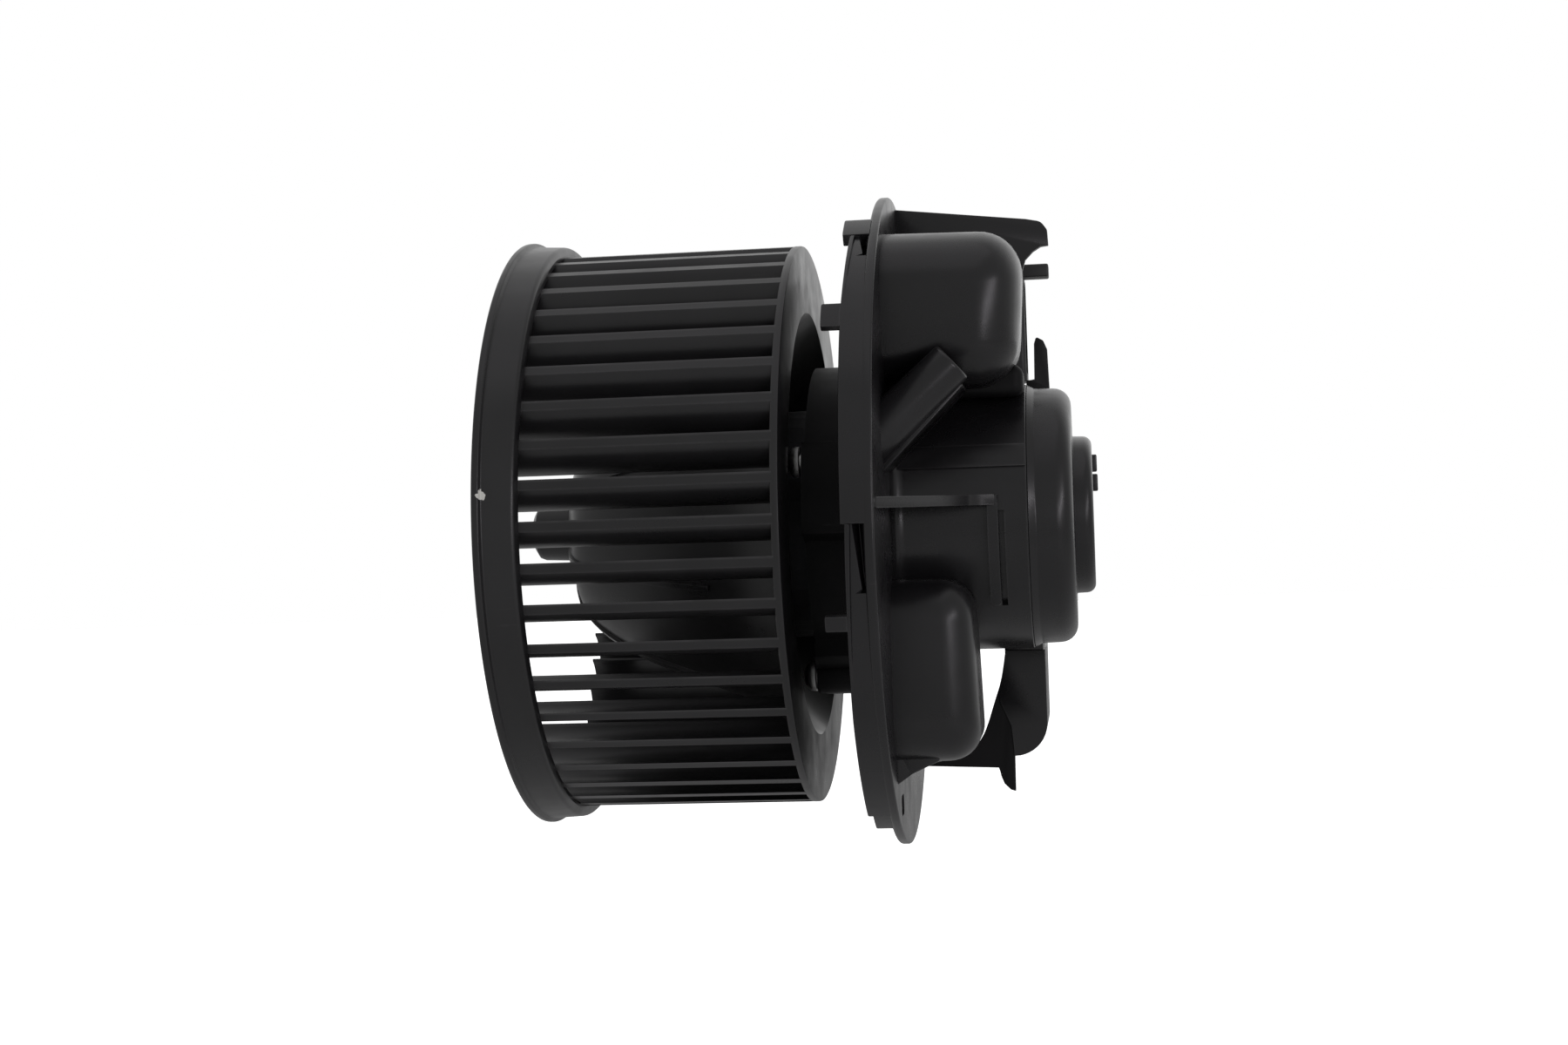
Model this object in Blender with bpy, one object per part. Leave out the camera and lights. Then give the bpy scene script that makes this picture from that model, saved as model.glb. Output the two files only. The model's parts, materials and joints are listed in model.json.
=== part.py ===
"""Automotive heater blower: squirrel-cage wheel on a brushed DC motor in a moulded housing.

Frame: metres, +Z up.  The spin axis is the Y axis.  Y = 0 is the seating face of the mounting
flange, the open inlet of the wheel looks along -Y and the motor's rear cap along +Y.
All constants below are in millimetres.
"""
import math

import bmesh
import bpy
from mathutils import Matrix, Vector

MM = 0.001
GAP = 0.3                 # clearance left between separate pieces

# ---- impeller -------------------------------------------------------------------------------
INLET_Y = -91.0           # plane of the inlet lip
LIP_R = 75.0              # rolled inlet lip
RING_R = 72.7             # right end of the inlet ring
RING_IN_R = 70.4
RING_LEN = 10.4
WHEEL_R = 71.0            # blade tips and back plate
BACK_Y = -20.1            # rear face of the back plate
BACK_T = 2.0
ANNULUS_R = 54.0          # inner edge of the flat rear annulus
BLADES = 46
RING_STEPS = 60
BLADE_INNER_R = 62.0
BLADE_T_IN = 0.9          # blade thickness at the inner edge
BLADE_T_OUT = 1.35        # and at the tip
BLADE_LEAN_IN = -6.0      # degrees from the radial direction, inner edge
BLADE_LEAN_OUT = 63.0     # and at the tip
BLADE_PHASE = 2.7         # degrees from +X to the first tip
BLADE_PITCH = 360.0 / BLADES
RIBS = 8                  # low radial ribs on the bell
RIB_PHASE = 20.0
RIB_T = 1.2
BOSS_R = 7.0
NOSE_Y = -93.6
BOSS_IN_Y = -56.0         # inner end of the boss, inside the dome

# ---- shaft and motor ------------------------------------------------------------------------
SHAFT_R = 3.0
BORE_R = SHAFT_R + GAP
SHAFT_Y = (-92.0, 43.0)
CLIP_BLADE = 24           # blade that carries the balance clip
CAN_R = 29.0
CAN_WALL = 1.6
CAN_Y = (-45.0, 31.6)
POCKET_R = 9.0            # bearing pocket of can and end plate
POCKET_LEN = 6.0
BEARING_R = 6.6
MAGNET_R = (21.6, 27.0)
MAGNET_Y = (-30.0, 17.0)
MAGNET_ARC = 124.0
CORE_R = 20.9
CORE_Y = (-26.0, 12.0)
SLOTS = 12
COMM_R = 9.0
COMM_Y = (16.5, 29.5)
BRUSH_Y = 24.0            # centre of the brushes
CARD_Y = (28.4, 30.2)
CARD_R = 27.0

# ---- housing --------------------------------------------------------------------------------
FLANGE_R = 82.0
FLANGE_T = 2.5
RIM_ROUND = 0.9           # rounding of the front edge of the flange
FLANGE_STEPS = 60
SKIRT_FRONT_Y = -5.1
LUG_FRONT_Y = -9.5
SKIRT_T = 2.2
SKIRT_HALF = 59.0         # degrees each side of +X and of -X
CUP_R = 33.4              # motor cup, outside
CUP_IN_R = 31.2
CUP_Y = 35.0              # seam between the cup and the rear cap
CAP_R = 32.2
CAP_Y = 46.0
STEP_R = 19.9
STEP_Y = 50.8
NUB_Y = 52.1
WALL = 2.0
UPPER_BULGE = ((10.0, 31.0), (47.0, 68.3))      # (x, z) corners
UPPER_BULGE_Y = 36.2
LOWER_BULGE = ((12.0, -58.0), (49.0, -14.0))
LOWER_BULGE_Y = 21.7
PLUG = ((-50.0, FLANGE_T + GAP, 36.4), (-30.0, 35.6, 65.2))
TERMINAL_Z = (44.0, 55.4)
TERMINAL_X = (-40.4, -39.6)
TERMINAL_HALF = 3.2
FAR_BOX_X = (-52.0, -14.4)
DUCT_START = (51.5, 1.0, 20.0)
DUCT_AXIS = (0.0, 18.6, 16.8)
DUCT_R = 5.9
DUCT_LEN = 25.0
WEB_X = (30.0, 50.6)
UPPER_ARM_X = (-11.0, -8.4)
LOWER_ARM_X = (-17.0, -14.4)
LEDGE_Z = 4.3
LEDGE_T = 2.8
LEDGE_REACH = 78.0
BOSS_END_Y = 5.6          # rear end of the screw bosses
COLLAR_Y = (-18.1, -0.3)
COLLAR_R = 39.8
COLLAR_IN_R = 32.6
EAR_R = 45.6
FOOT_R = 43.8
EYE_R = 4.3               # eyes of the two lower screws
SCREW_R = 43.4            # pitch radius of the four retainer screws
SCREW_ANGLES = (-20.0, 60.5, 119.5, 200.0)
SCREW_HEAD_R = 3.7
SCREW_HEAD_H = 3.3
SCREW_SHANK_R = 1.9
SCREW_END_Y = 4.4


# =============================================================================================
# Mesh helpers
# =============================================================================================
def clear_scene():
    for obj in list(bpy.data.objects):
        bpy.data.objects.remove(obj, do_unlink=True)


def material(name, colour, roughness, metallic=0.0):
    mat = bpy.data.materials.new(name)
    mat.use_nodes = True
    shader = mat.node_tree.nodes["Principled BSDF"]
    shader.inputs["Base Color"].default_value = (*colour, 1.0)
    shader.inputs["Roughness"].default_value = roughness
    shader.inputs["Metallic"].default_value = metallic
    mat.diffuse_color = (*colour, 1.0)
    return mat


def finish_object(bm, name, mat=None, sharp=30.0):
    """Turn a bmesh built in millimetres into a named object in metres."""
    bmesh.ops.remove_doubles(bm, verts=bm.verts, dist=0.0005)
    bmesh.ops.recalc_face_normals(bm, faces=bm.faces)
    bmesh.ops.scale(bm, vec=(MM, MM, MM), verts=bm.verts)
    mesh = bpy.data.meshes.new(name)
    bm.to_mesh(mesh)
    bm.free()
    obj = bpy.data.objects.new(name, mesh)
    bpy.context.scene.collection.objects.link(obj)
    if mat is not None:
        mesh.materials.append(mat)
    mesh.shade_smooth()
    mesh.set_sharp_from_angle(angle=math.radians(sharp))
    return obj


def polar(radius, angle):
    """Point in the XZ plane; the angle runs in degrees from +X down towards -Z."""
    a = math.radians(angle)
    return radius * math.cos(a), -radius * math.sin(a)


def arc_points(radius, start, end, count):
    return [polar(radius, start + (end - start) * i / (count - 1)) for i in range(count)]


def turned(name, profile, steps, mat=None, centre=(0.0, 0.0)):
    """Revolve a closed (radius, y) outline about an axis parallel to Y."""
    bm = bmesh.new()
    rings = []
    for radius, y in profile:
        if radius < 1e-6:
            rings.append([bm.verts.new((centre[0], y, centre[1]))])
            continue
        ring = []
        for i in range(steps):
            x, z = polar(radius, 360.0 * i / steps)
            ring.append(bm.verts.new((centre[0] + x, y, centre[1] + z)))
        rings.append(ring)
    for k, ring in enumerate(rings):
        other = rings[(k + 1) % len(rings)]
        if len(ring) == 1 and len(other) == 1:
            continue
        for i in range(steps):
            j = (i + 1) % steps
            if len(ring) == 1:
                bm.faces.new((ring[0], other[j], other[i]))
            elif len(other) == 1:
                bm.faces.new((ring[i], ring[j], other[0]))
            else:
                bm.faces.new((ring[i], ring[j], other[j], other[i]))
    return finish_object(bm, name, mat)


def turned_along(name, profile, steps, start, direction, mat=None):
    """Revolve a closed (radius, distance) outline about any line."""
    obj = turned(name, profile, steps, mat)
    turn = Vector((0, 1, 0)).rotation_difference(Vector(direction).normalized())
    obj.data.transform(Matrix.Translation(Vector(start) * MM) @ turn.to_matrix().to_4x4())
    return obj


def prism(name, outline, y0, y1, mat=None):
    """Extrude an (x, z) outline along Y."""
    bm = bmesh.new()
    front = [bm.verts.new((x, y0, z)) for x, z in outline]
    back = [bm.verts.new((x, y1, z)) for x, z in outline]
    bm.faces.new(front)
    bm.faces.new(list(reversed(back)))
    for i in range(len(outline)):
        j = (i + 1) % len(outline)
        bm.faces.new((front[i], front[j], back[j], back[i]))
    return finish_object(bm, name, mat)


def plate_x(name, outline, x0, x1, mat=None):
    """Extrude a (y, z) outline along X."""
    bm = bmesh.new()
    left = [bm.verts.new((x0, y, z)) for y, z in outline]
    right = [bm.verts.new((x1, y, z)) for y, z in outline]
    bm.faces.new(left)
    bm.faces.new(list(reversed(right)))
    for i in range(len(outline)):
        j = (i + 1) % len(outline)
        bm.faces.new((left[i], left[j], right[j], right[i]))
    return finish_object(bm, name, mat)


def block(name, low, high, radius=0.0, segments=3, mat=None):
    """Box between two corners with rounded edges."""
    bm = bmesh.new()
    bmesh.ops.create_cube(bm, size=1.0)
    for vert in bm.verts:
        for axis in range(3):
            vert.co[axis] = low[axis] if vert.co[axis] < 0 else high[axis]
    if radius > 0:
        bmesh.ops.bevel(bm, geom=list(bm.edges), offset=radius, segments=segments,
                        profile=0.5, affect="EDGES")
    return finish_object(bm, name, mat)


def tidy_faces(mesh):
    """Weld the slivers a boolean leaves and merge its coplanar pieces back into whole faces."""
    bm = bmesh.new()
    bm.from_mesh(mesh)
    bmesh.ops.remove_doubles(bm, verts=bm.verts, dist=2e-6)
    bmesh.ops.dissolve_degenerate(bm, dist=2e-6, edges=bm.edges)
    bmesh.ops.dissolve_limit(bm, angle_limit=math.radians(0.05), verts=bm.verts, edges=bm.edges)
    bm.to_mesh(mesh)
    bm.free()


def combine(target, others, operation):
    """Boolean the other objects into the target with the exact solver, and delete them."""
    for other in others:
        mod = target.modifiers.new("combine", "BOOLEAN")
        mod.operation = operation
        mod.solver = "EXACT"
        mod.object = other
        graph = bpy.context.evaluated_depsgraph_get()
        mesh = bpy.data.meshes.new_from_object(target.evaluated_get(graph))
        target.modifiers.clear()
        tidy_faces(mesh)
        mesh.name = target.name
        target.data = mesh
        bpy.data.objects.remove(other, do_unlink=True)
    mesh = target.data
    mesh.shade_smooth()
    mesh.set_sharp_from_angle(angle=math.radians(30.0))
    return target


def fuse(target, others):
    return combine(target, others, "UNION")


def cut(target, others):
    return combine(target, others, "DIFFERENCE")


def joined(name, objects):
    """Put separate meshes into one temporary object, used as a many-bodied cutter or pad."""
    bm = bmesh.new()
    for obj in objects:
        bm.from_mesh(obj.data)
        bpy.data.objects.remove(obj, do_unlink=True)
    mesh = bpy.data.meshes.new(name)
    bm.to_mesh(mesh)
    bm.free()
    obj = bpy.data.objects.new(name, mesh)
    bpy.context.scene.collection.objects.link(obj)
    return obj


def set_material(obj, mat):
    obj.data.materials.clear()
    obj.data.materials.append(mat)
    for face in obj.data.polygons:
        face.material_index = 0


# =============================================================================================
# Impeller
# =============================================================================================
def blade_outline():
    """Cross-section of one forward-curved blade, ending on the wheel's outer radius."""
    steps = 3
    lean_in = math.radians(BLADE_LEAN_IN)
    lean_out = math.radians(BLADE_LEAN_OUT)
    reach = WHEEL_R - BLADE_INNER_R
    length = reach * (lean_out - lean_in) / (math.sin(lean_out) - math.sin(lean_in))
    overrun = 1.25
    x, z = BLADE_INNER_R, 0.0
    upper, lower = [], []
    for i in range(steps + 1):
        t = overrun * i / steps
        lean = lean_in + (lean_out - lean_in) * t
        half = 0.5 * (BLADE_T_IN + (BLADE_T_OUT - BLADE_T_IN) * min(t, 1.0))
        upper.append((x - half * math.sin(lean), z + half * math.cos(lean)))
        lower.append((x + half * math.sin(lean), z - half * math.cos(lean)))
        step = length * overrun / steps
        mid = lean + 0.5 * (lean_out - lean_in) * overrun / steps
        x += step * math.cos(mid)
        z += step * math.sin(mid)
    return trim(lower) + list(reversed(trim(upper)))


def trim(points):
    """Cut a line of points off where it crosses the wheel's outer radius."""
    kept = [points[0]]
    for a, b in zip(points, points[1:]):
        ra, rb = math.hypot(*a), math.hypot(*b)
        if rb < WHEEL_R:
            kept.append(b)
            continue
        t = (WHEEL_R - ra) / (rb - ra)
        kept.append((a[0] + t * (b[0] - a[0]), a[1] + t * (b[1] - a[1])))
        break
    return kept


def turned_outline(outline, angle):
    a = math.radians(-angle)
    ca, sa = math.cos(a), math.sin(a)
    return [(x * ca - z * sa, x * sa + z * ca) for x, z in outline]


def dome_profile():
    """Outside and inside of the bell-shaped hub, from the rear annulus to the nose and back."""
    outer = [
        (WHEEL_R, BACK_Y), (WHEEL_R, BACK_Y - BACK_T), (ANNULUS_R + 1.0, BACK_Y - BACK_T),
        (46.4, -34.0), (40.0, -50.0), (33.2, -66.0), (25.4, -76.6), (18.0, -80.8),
        (BOSS_R, -83.0), (6.6, -92.2), (4.6, NOSE_Y),
    ]
    inner = [
        (BORE_R, NOSE_Y), (BORE_R, BOSS_IN_Y), (BOSS_R, BOSS_IN_Y), (BOSS_R, -79.6),
        (17.2, -78.4), (24.0, -74.6), (31.2, -64.6), (38.0, -49.0), (44.2, -33.4),
        (ANNULUS_R, BACK_Y),
    ]
    return outer + inner


def build_hub(mat):
    """Bell-shaped hub with its boss, low radial ribs and the back plate."""
    hub = turned("impeller_hub", dome_profile(), BLADES, mat)
    ribs = []
    for i in range(RIBS):
        rib = plate_x("rib", [
            (-79.2, 16.0), (-72.0, 28.4), (-60.0, 36.0), (-46.0, 41.8), (-46.0, 38.6), (-60.0, 33.0),
            (-72.0, 25.4), (-78.2, 16.0),
        ], -0.5 * RIB_T, 0.5 * RIB_T)
        rib.data.transform(Matrix.Rotation(math.radians(360.0 / RIBS * i + RIB_PHASE), 4, "Y"))
        ribs.append(rib)
    fuse(hub, ribs)
    set_material(hub, mat)


def build_blade_cage(mat):
    """Inlet ring with the forward-curved blades, standing on the back plate."""
    ring_end = INLET_Y + RING_LEN
    cage = turned("impeller_blades", [
        (RING_R - 0.7, ring_end), (RING_R + 0.9, ring_end - 1.2), (RING_R + 1.3, INLET_Y + 2.8),
        (LIP_R, INLET_Y + 1.8), (LIP_R - 0.4, INLET_Y), (RING_R - 0.1, INLET_Y),
        (RING_IN_R, INLET_Y + 1.4), (RING_IN_R, ring_end),
    ], RING_STEPS, mat)
    outline = blade_outline()
    blades = []
    for i in range(BLADES):
        shape = turned_outline(outline, BLADE_PHASE + i * BLADE_PITCH)
        blades.append(prism("blade", shape, INLET_Y + 1.9, BACK_Y - BACK_T - GAP))
    fuse(cage, [joined("blades", blades)])
    set_material(cage, mat)


def build_rotor(mats):
    build_hub(mats["wheel"])
    build_blade_cage(mats["wheel"])
    turned("motor_shaft", [
        (0.0, SHAFT_Y[0]), (SHAFT_R - 0.5, SHAFT_Y[0]), (SHAFT_R, SHAFT_Y[0] + 0.5),
        (SHAFT_R, SHAFT_Y[1] - 0.5), (SHAFT_R - 0.5, SHAFT_Y[1]), (0.0, SHAFT_Y[1]),
    ], 24, mats["steel"])
    clip = turned("hub_spring_clip", [
        (BOSS_R + GAP, -62.0), (BOSS_R + GAP, -58.0), (BOSS_R + 1.5, -58.0), (BOSS_R + 1.5, -62.0),
    ], 18, mats["spring"])
    cut(clip, [block("slit", (-1.2, -63, 4.0), (1.2, -57, 10.0))])
    set_material(clip, mats["spring"])
    build_balance_clip(mats["spring"])
    build_armature(mats)
    for name, y in (("thrust_washer_front", -42.6), ("thrust_washer_rear", 30.6)):
        turned(name, [(BORE_R, y), (BORE_R, y + 0.8), (5.6, y + 0.8), (5.6, y)], 16, mats["washer"])


def build_balance_clip(mat):
    """Steel U clip pushed over the inner edge of one blade."""
    angle = BLADE_PHASE + CLIP_BLADE * BLADE_PITCH
    half = 0.5 * BLADE_T_IN + GAP + 0.15
    skin = 0.5
    reach = (BLADE_INNER_R - 1.1, BLADE_INNER_R + 2.6)
    outline = [
        (reach[0], -half - skin), (reach[1], -half - skin), (reach[1], -half), (reach[0] + skin, -half),
        (reach[0] + skin, half), (reach[1], half), (reach[1], half + skin), (reach[0], half + skin),
    ]
    prism("balance_clip", turned_outline(outline, angle), -62.0, -54.0, mat)


def tooth_ring(count, outer_r, tip_half, neck_half, tip_inner_r, root_r):
    """Outline of a laminated core: T-shaped teeth round a hub."""
    points = []
    pitch = 360.0 / count
    for i in range(count):
        centre = i * pitch
        neck = [math.degrees(math.asin(neck_half / r)) for r in (root_r, tip_inner_r)]
        points.append(polar(root_r, centre - neck[0]))
        points.append(polar(tip_inner_r, centre - neck[1]))
        points.append(polar(tip_inner_r + 0.8, centre - tip_half))
        points.extend(arc_points(outer_r, centre - tip_half, centre + tip_half, 3))
        points.append(polar(tip_inner_r + 0.8, centre + tip_half))
        points.append(polar(tip_inner_r, centre + neck[1]))
        points.append(polar(root_r, centre + neck[0]))
    return points


def build_armature(mats):
    core = prism("armature_core", tooth_ring(SLOTS, CORE_R, 12.4, 1.5, 18.2, 9.0), *CORE_Y, mats["core"])
    cut(core, [turned("bore", [(0, CORE_Y[0] - 1), (BORE_R, CORE_Y[0] - 1), (BORE_R, CORE_Y[1] + 1),
                               (0, CORE_Y[1] + 1)], 24)])
    set_material(core, mats["core"])
    winding = turned("armature_winding", [
        (6.0, CORE_Y[0] - GAP), (16.4, CORE_Y[0] - GAP), (18.0, CORE_Y[0] - 2.5), (17.0, CORE_Y[0] - 6.5),
        (13.0, CORE_Y[0] - 8.5), (7.0, CORE_Y[0] - 7.0),
    ], 20, mats["copper"])
    rear = turned("rear", [
        (6.0, CORE_Y[1] + GAP), (6.4, CORE_Y[1] + 3.6), (13.0, CORE_Y[1] + 7.0), (17.0, CORE_Y[1] + 5.6),
        (18.0, CORE_Y[1] + 2.5), (16.4, CORE_Y[1] + GAP),
    ], 20)
    pitch = 360.0 / SLOTS
    bars = []
    for i in range(SLOTS):
        centre = (i + 0.5) * pitch
        shape = [polar(10.6, centre - 4.4), polar(17.2, centre - 8.4), polar(17.2, centre + 8.4),
                 polar(10.6, centre + 4.4)]
        bars.append(prism("bar", shape, CORE_Y[0] - 1.5, CORE_Y[1] + 1.5))
    fuse(winding, [joined("bars", bars), rear])
    set_material(winding, mats["copper"])
    outline = []
    for i in range(SLOTS):
        centre = i * pitch
        outline.extend(arc_points(COMM_R, centre - 13.4, centre + 13.4, 3))
        outline.append(polar(COMM_R - 0.9, centre + 13.4))
        outline.append(polar(COMM_R - 0.9, centre + 16.6))
    comm = prism("commutator", outline, COMM_Y[0] + 3.2, COMM_Y[1], mats["comm"])
    cut(comm, [turned("bore", [(0, 0), (BORE_R, 0), (BORE_R, 40), (0, 40)], 24)])
    set_material(comm, mats["comm"])


# =============================================================================================
# Motor, fixed parts
# =============================================================================================
def build_can(mat):
    front, rear = CAN_Y
    inner = CAN_R - CAN_WALL
    can = turned("motor_can", [
        (inner, rear), (CAN_R, rear), (CAN_R, front + 2.0), (CAN_R - 2.0, front),
        (POCKET_R + 1.0, front), (POCKET_R, front - POCKET_LEN), (BORE_R + 0.9, front - POCKET_LEN),
        (BORE_R + 0.9, front - POCKET_LEN + 1.2), (POCKET_R - 1.3, front - POCKET_LEN + 1.2),
        (POCKET_R - 1.3, front + CAN_WALL), (inner - 1.6, front + CAN_WALL), (inner, front + 3.2),
    ], 32, mat)
    cut(can, [block("window", (-CAN_R - 4, 21.0, 2.0), (-20.0, rear + 1.0, 20.0))])
    set_material(can, mat)


def build_end_plate(mat):
    y0, y1 = CAN_Y[1] + GAP, CAN_Y[1] + GAP + 1.6
    turned("motor_end_plate", [
        (CAN_R, y0), (CAN_R, y1), (POCKET_R + 1.0, y1), (POCKET_R, y1 + POCKET_LEN),
        (BORE_R + 0.9, y1 + POCKET_LEN), (BORE_R + 0.9, y1 + POCKET_LEN - 1.2),
        (POCKET_R - 1.3, y1 + POCKET_LEN - 1.2), (POCKET_R - 1.3, y0),
    ], 32, mat)
    return y1


def bearing(name, y, mat):
    """Self-aligning sintered bush: a barrel with a bore."""
    turned(name, [
        (BORE_R, y), (5.2, y), (BEARING_R, y + 1.5), (BEARING_R, y + 2.9), (5.2, y + 4.4), (BORE_R, y + 4.4),
    ], 20, mat)


def retainer(name, y, mat):
    """Sprung washer that keeps a bush in its pocket."""
    ring = turned(name, [(4.4, y), (4.4, y + 0.5), (7.3, y + 0.5), (7.3, y)], 16, mat)
    slits = []
    for i in range(4):
        slit = block("slit", (5.6, y - 1, -0.5), (8.0, y + 2, 0.5))
        slit.data.transform(Matrix.Rotation(math.radians(90.0 * i + 45.0), 4, "Y"))
        slits.append(slit)
    cut(ring, slits)
    set_material(ring, mat)


def build_magnets(mats):
    half = 0.5 * MAGNET_ARC
    for name, centre in (("magnet_right", 0.0), ("magnet_left", 180.0)):
        outline = arc_points(MAGNET_R[1], centre - half, centre + half, 13)
        outline += arc_points(MAGNET_R[0], centre + half, centre - half, 13)
        prism(name, outline, *MAGNET_Y, mats["ferrite"])
    for name, centre in (("magnet_clip_bottom", 90.0), ("magnet_clip_top", 270.0)):
        edge = 90.0 - half - 2.2
        outline = arc_points(MAGNET_R[1] - 0.3, centre - edge, centre + edge, 9)
        outline.append(polar(MAGNET_R[0] + 1.2, centre + edge - 1.0))
        outline.append(polar(MAGNET_R[0] + 1.4, centre + edge - 3.0))
        outline += arc_points(MAGNET_R[1] - 1.1, centre + edge - 3.4, centre - edge + 3.4, 7)
        outline.append(polar(MAGNET_R[0] + 1.4, centre - edge + 3.0))
        outline.append(polar(MAGNET_R[0] + 1.2, centre - edge + 1.0))
        prism(name, outline, -24.0, 10.0, mats["spring"])


def build_brush_gear(mats):
    card = turned("brush_card", [
        (10.6, CARD_Y[0]), (10.6, CARD_Y[1]), (CARD_R, CARD_Y[1]), (CARD_R, CARD_Y[0]),
    ], 32, mats["card"])
    y0, y1 = BRUSH_Y - 3.0, BRUSH_Y + 3.0
    for side in (-1, 1):
        holder = block("holder", (min(11.0 * side, 25.6 * side), y0 - 1.4, -4.6),
                       (max(11.0 * side, 25.6 * side), CARD_Y[0] + 0.6, 4.6))
        well = block("well", (min(10.0 * side, 24.4 * side), y0 - GAP, -2.5 - GAP),
                     (max(10.0 * side, 24.4 * side), y1 + GAP, 2.5 + GAP))
        fuse(card, [holder])
        cut(card, [well])
    set_material(card, mats["card"])
    for name, side in (("brush_right", 1), ("brush_left", -1)):
        tip, tail = (COMM_R + GAP) * side, 18.0 * side
        brush = block(name, (min(tip, tail), y0, -2.5), (max(tip, tail), y1, 2.5), 0.4, 1)
        set_material(brush, mats["carbon"])
        build_spring(name.replace("brush", "brush_spring"), side, mats["spring"])
    for name, z in (("choke_upper", 17.0), ("choke_lower", -17.0)):
        turned(name, [(0.0, 19.4), (1.6, 19.4), (2.2, 20.0), (2.2, 27.3), (1.6, 27.9), (0.0, 27.9)],
               12, mats["ferrite"], centre=(-14.0, z))


def build_spring(name, side, mat):
    """Helical compression spring behind a brush, as a swept round wire."""
    turns, sides, wire, radius = 4, 4, 0.35, 1.7
    start, length = 18.0 + GAP + wire, 24.4 - 18.0 - 2 * (GAP + wire)
    count = turns * 8
    bm = bmesh.new()
    rings = []
    for i in range(count + 1):
        t = i / count
        turn = 2 * math.pi * turns * t
        normal = Vector((0, math.cos(turn), math.sin(turn)))
        along = Vector(((start + length * t) * side, BRUSH_Y, 0))
        centre = along + radius * normal
        swing = radius * 2 * math.pi * turns
        tangent = Vector((length * side, -swing * math.sin(turn), swing * math.cos(turn))).normalized()
        cross = tangent.cross(normal).normalized()
        ring = []
        for k in range(sides):
            a = 2 * math.pi * k / sides
            ring.append(bm.verts.new(centre + wire * (math.cos(a) * normal + math.sin(a) * cross)))
        rings.append(ring)
    for a, b in zip(rings, rings[1:]):
        for k in range(sides):
            bm.faces.new((a[k], a[(k + 1) % sides], b[(k + 1) % sides], b[k]))
    bm.faces.new(rings[0])
    bm.faces.new(list(reversed(rings[-1])))
    finish_object(bm, name, mat)


def build_motor(mats):
    build_can(mats["can"])
    plate_back = build_end_plate(mats["can"])
    bearing("front_bearing", CAN_Y[0] - POCKET_LEN + 1.5, mats["bronze"])
    bearing("rear_bearing", plate_back + POCKET_LEN - 1.5 - 4.4, mats["bronze"])
    retainer("front_bearing_retainer", CAN_Y[0] + 0.25, mats["spring"])
    retainer("rear_bearing_retainer", plate_back - 1.2, mats["spring"])
    build_magnets(mats)
    build_brush_gear(mats)


# =============================================================================================
# Housing
# =============================================================================================
def sector(name, r_in, r_out, start, end, y0, y1, count=12, mat=None):
    outline = arc_points(r_out, start, end, count) + arc_points(r_in, end, start, count)
    return prism(name, outline, y0, y1, mat)


def skirt(centre):
    """Skirt band of the bayonet flange with its ramps, stops and front lugs."""
    pieces = [sector("skirt", FLANGE_R - SKIRT_T, FLANGE_R - 0.12, centre - SKIRT_HALF,
                     centre + SKIRT_HALF, SKIRT_FRONT_Y, 0.9, 20)]
    for start, end in ((-37.9, -33.2), (14.8, 17.3)):
        pieces.append(sector("lug", FLANGE_R - 2.0, FLANGE_R - 0.3, centre + start, centre + end,
                             LUG_FRONT_Y, SKIRT_FRONT_Y + 1.0, 3))
    return pieces


def ramp_cutters(centre):
    """Ramp grooves in the skirt: deep below each stop, running out to flush."""
    cutters = []
    for start, end in ((-52.5, -37.0), (0.2, 17.5)):
        depth = 1.5
        outline = [polar(FLANGE_R - depth, centre + start)]
        outline += [polar(FLANGE_R + 1.0, centre + start), polar(FLANGE_R + 1.0, centre + end)]
        steps = 5
        for k in range(1, steps):
            t = k / steps
            outline.append(polar(FLANGE_R - depth * t, centre + end + (start - end) * t))
        cutters.append(prism("ramp", outline, -2.3, 0.1))
    return cutters


def bulge(name, low, high, y, radius):
    """Rounded box between two (x, z) corners that grows out of the flange and ends at y."""
    root = 0.8
    shape = block(name, (low[0], -2.0 * radius, low[1]), (high[0], y, high[1]), radius, 2)
    bm = bmesh.new()
    bm.from_mesh(shape.data)
    cut_edges = bmesh.ops.bisect_plane(
        bm, geom=bm.verts[:] + bm.edges[:] + bm.faces[:], plane_co=(0, root * MM, 0),
        plane_no=(0, 1, 0), clear_inner=True)["geom_cut"]
    rim = [item for item in cut_edges if isinstance(item, bmesh.types.BMEdge)]
    bmesh.ops.contextual_create(bm, geom=rim)
    bmesh.ops.recalc_face_normals(bm, faces=bm.faces)
    bm.to_mesh(shape.data)
    bm.free()
    return shape


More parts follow.
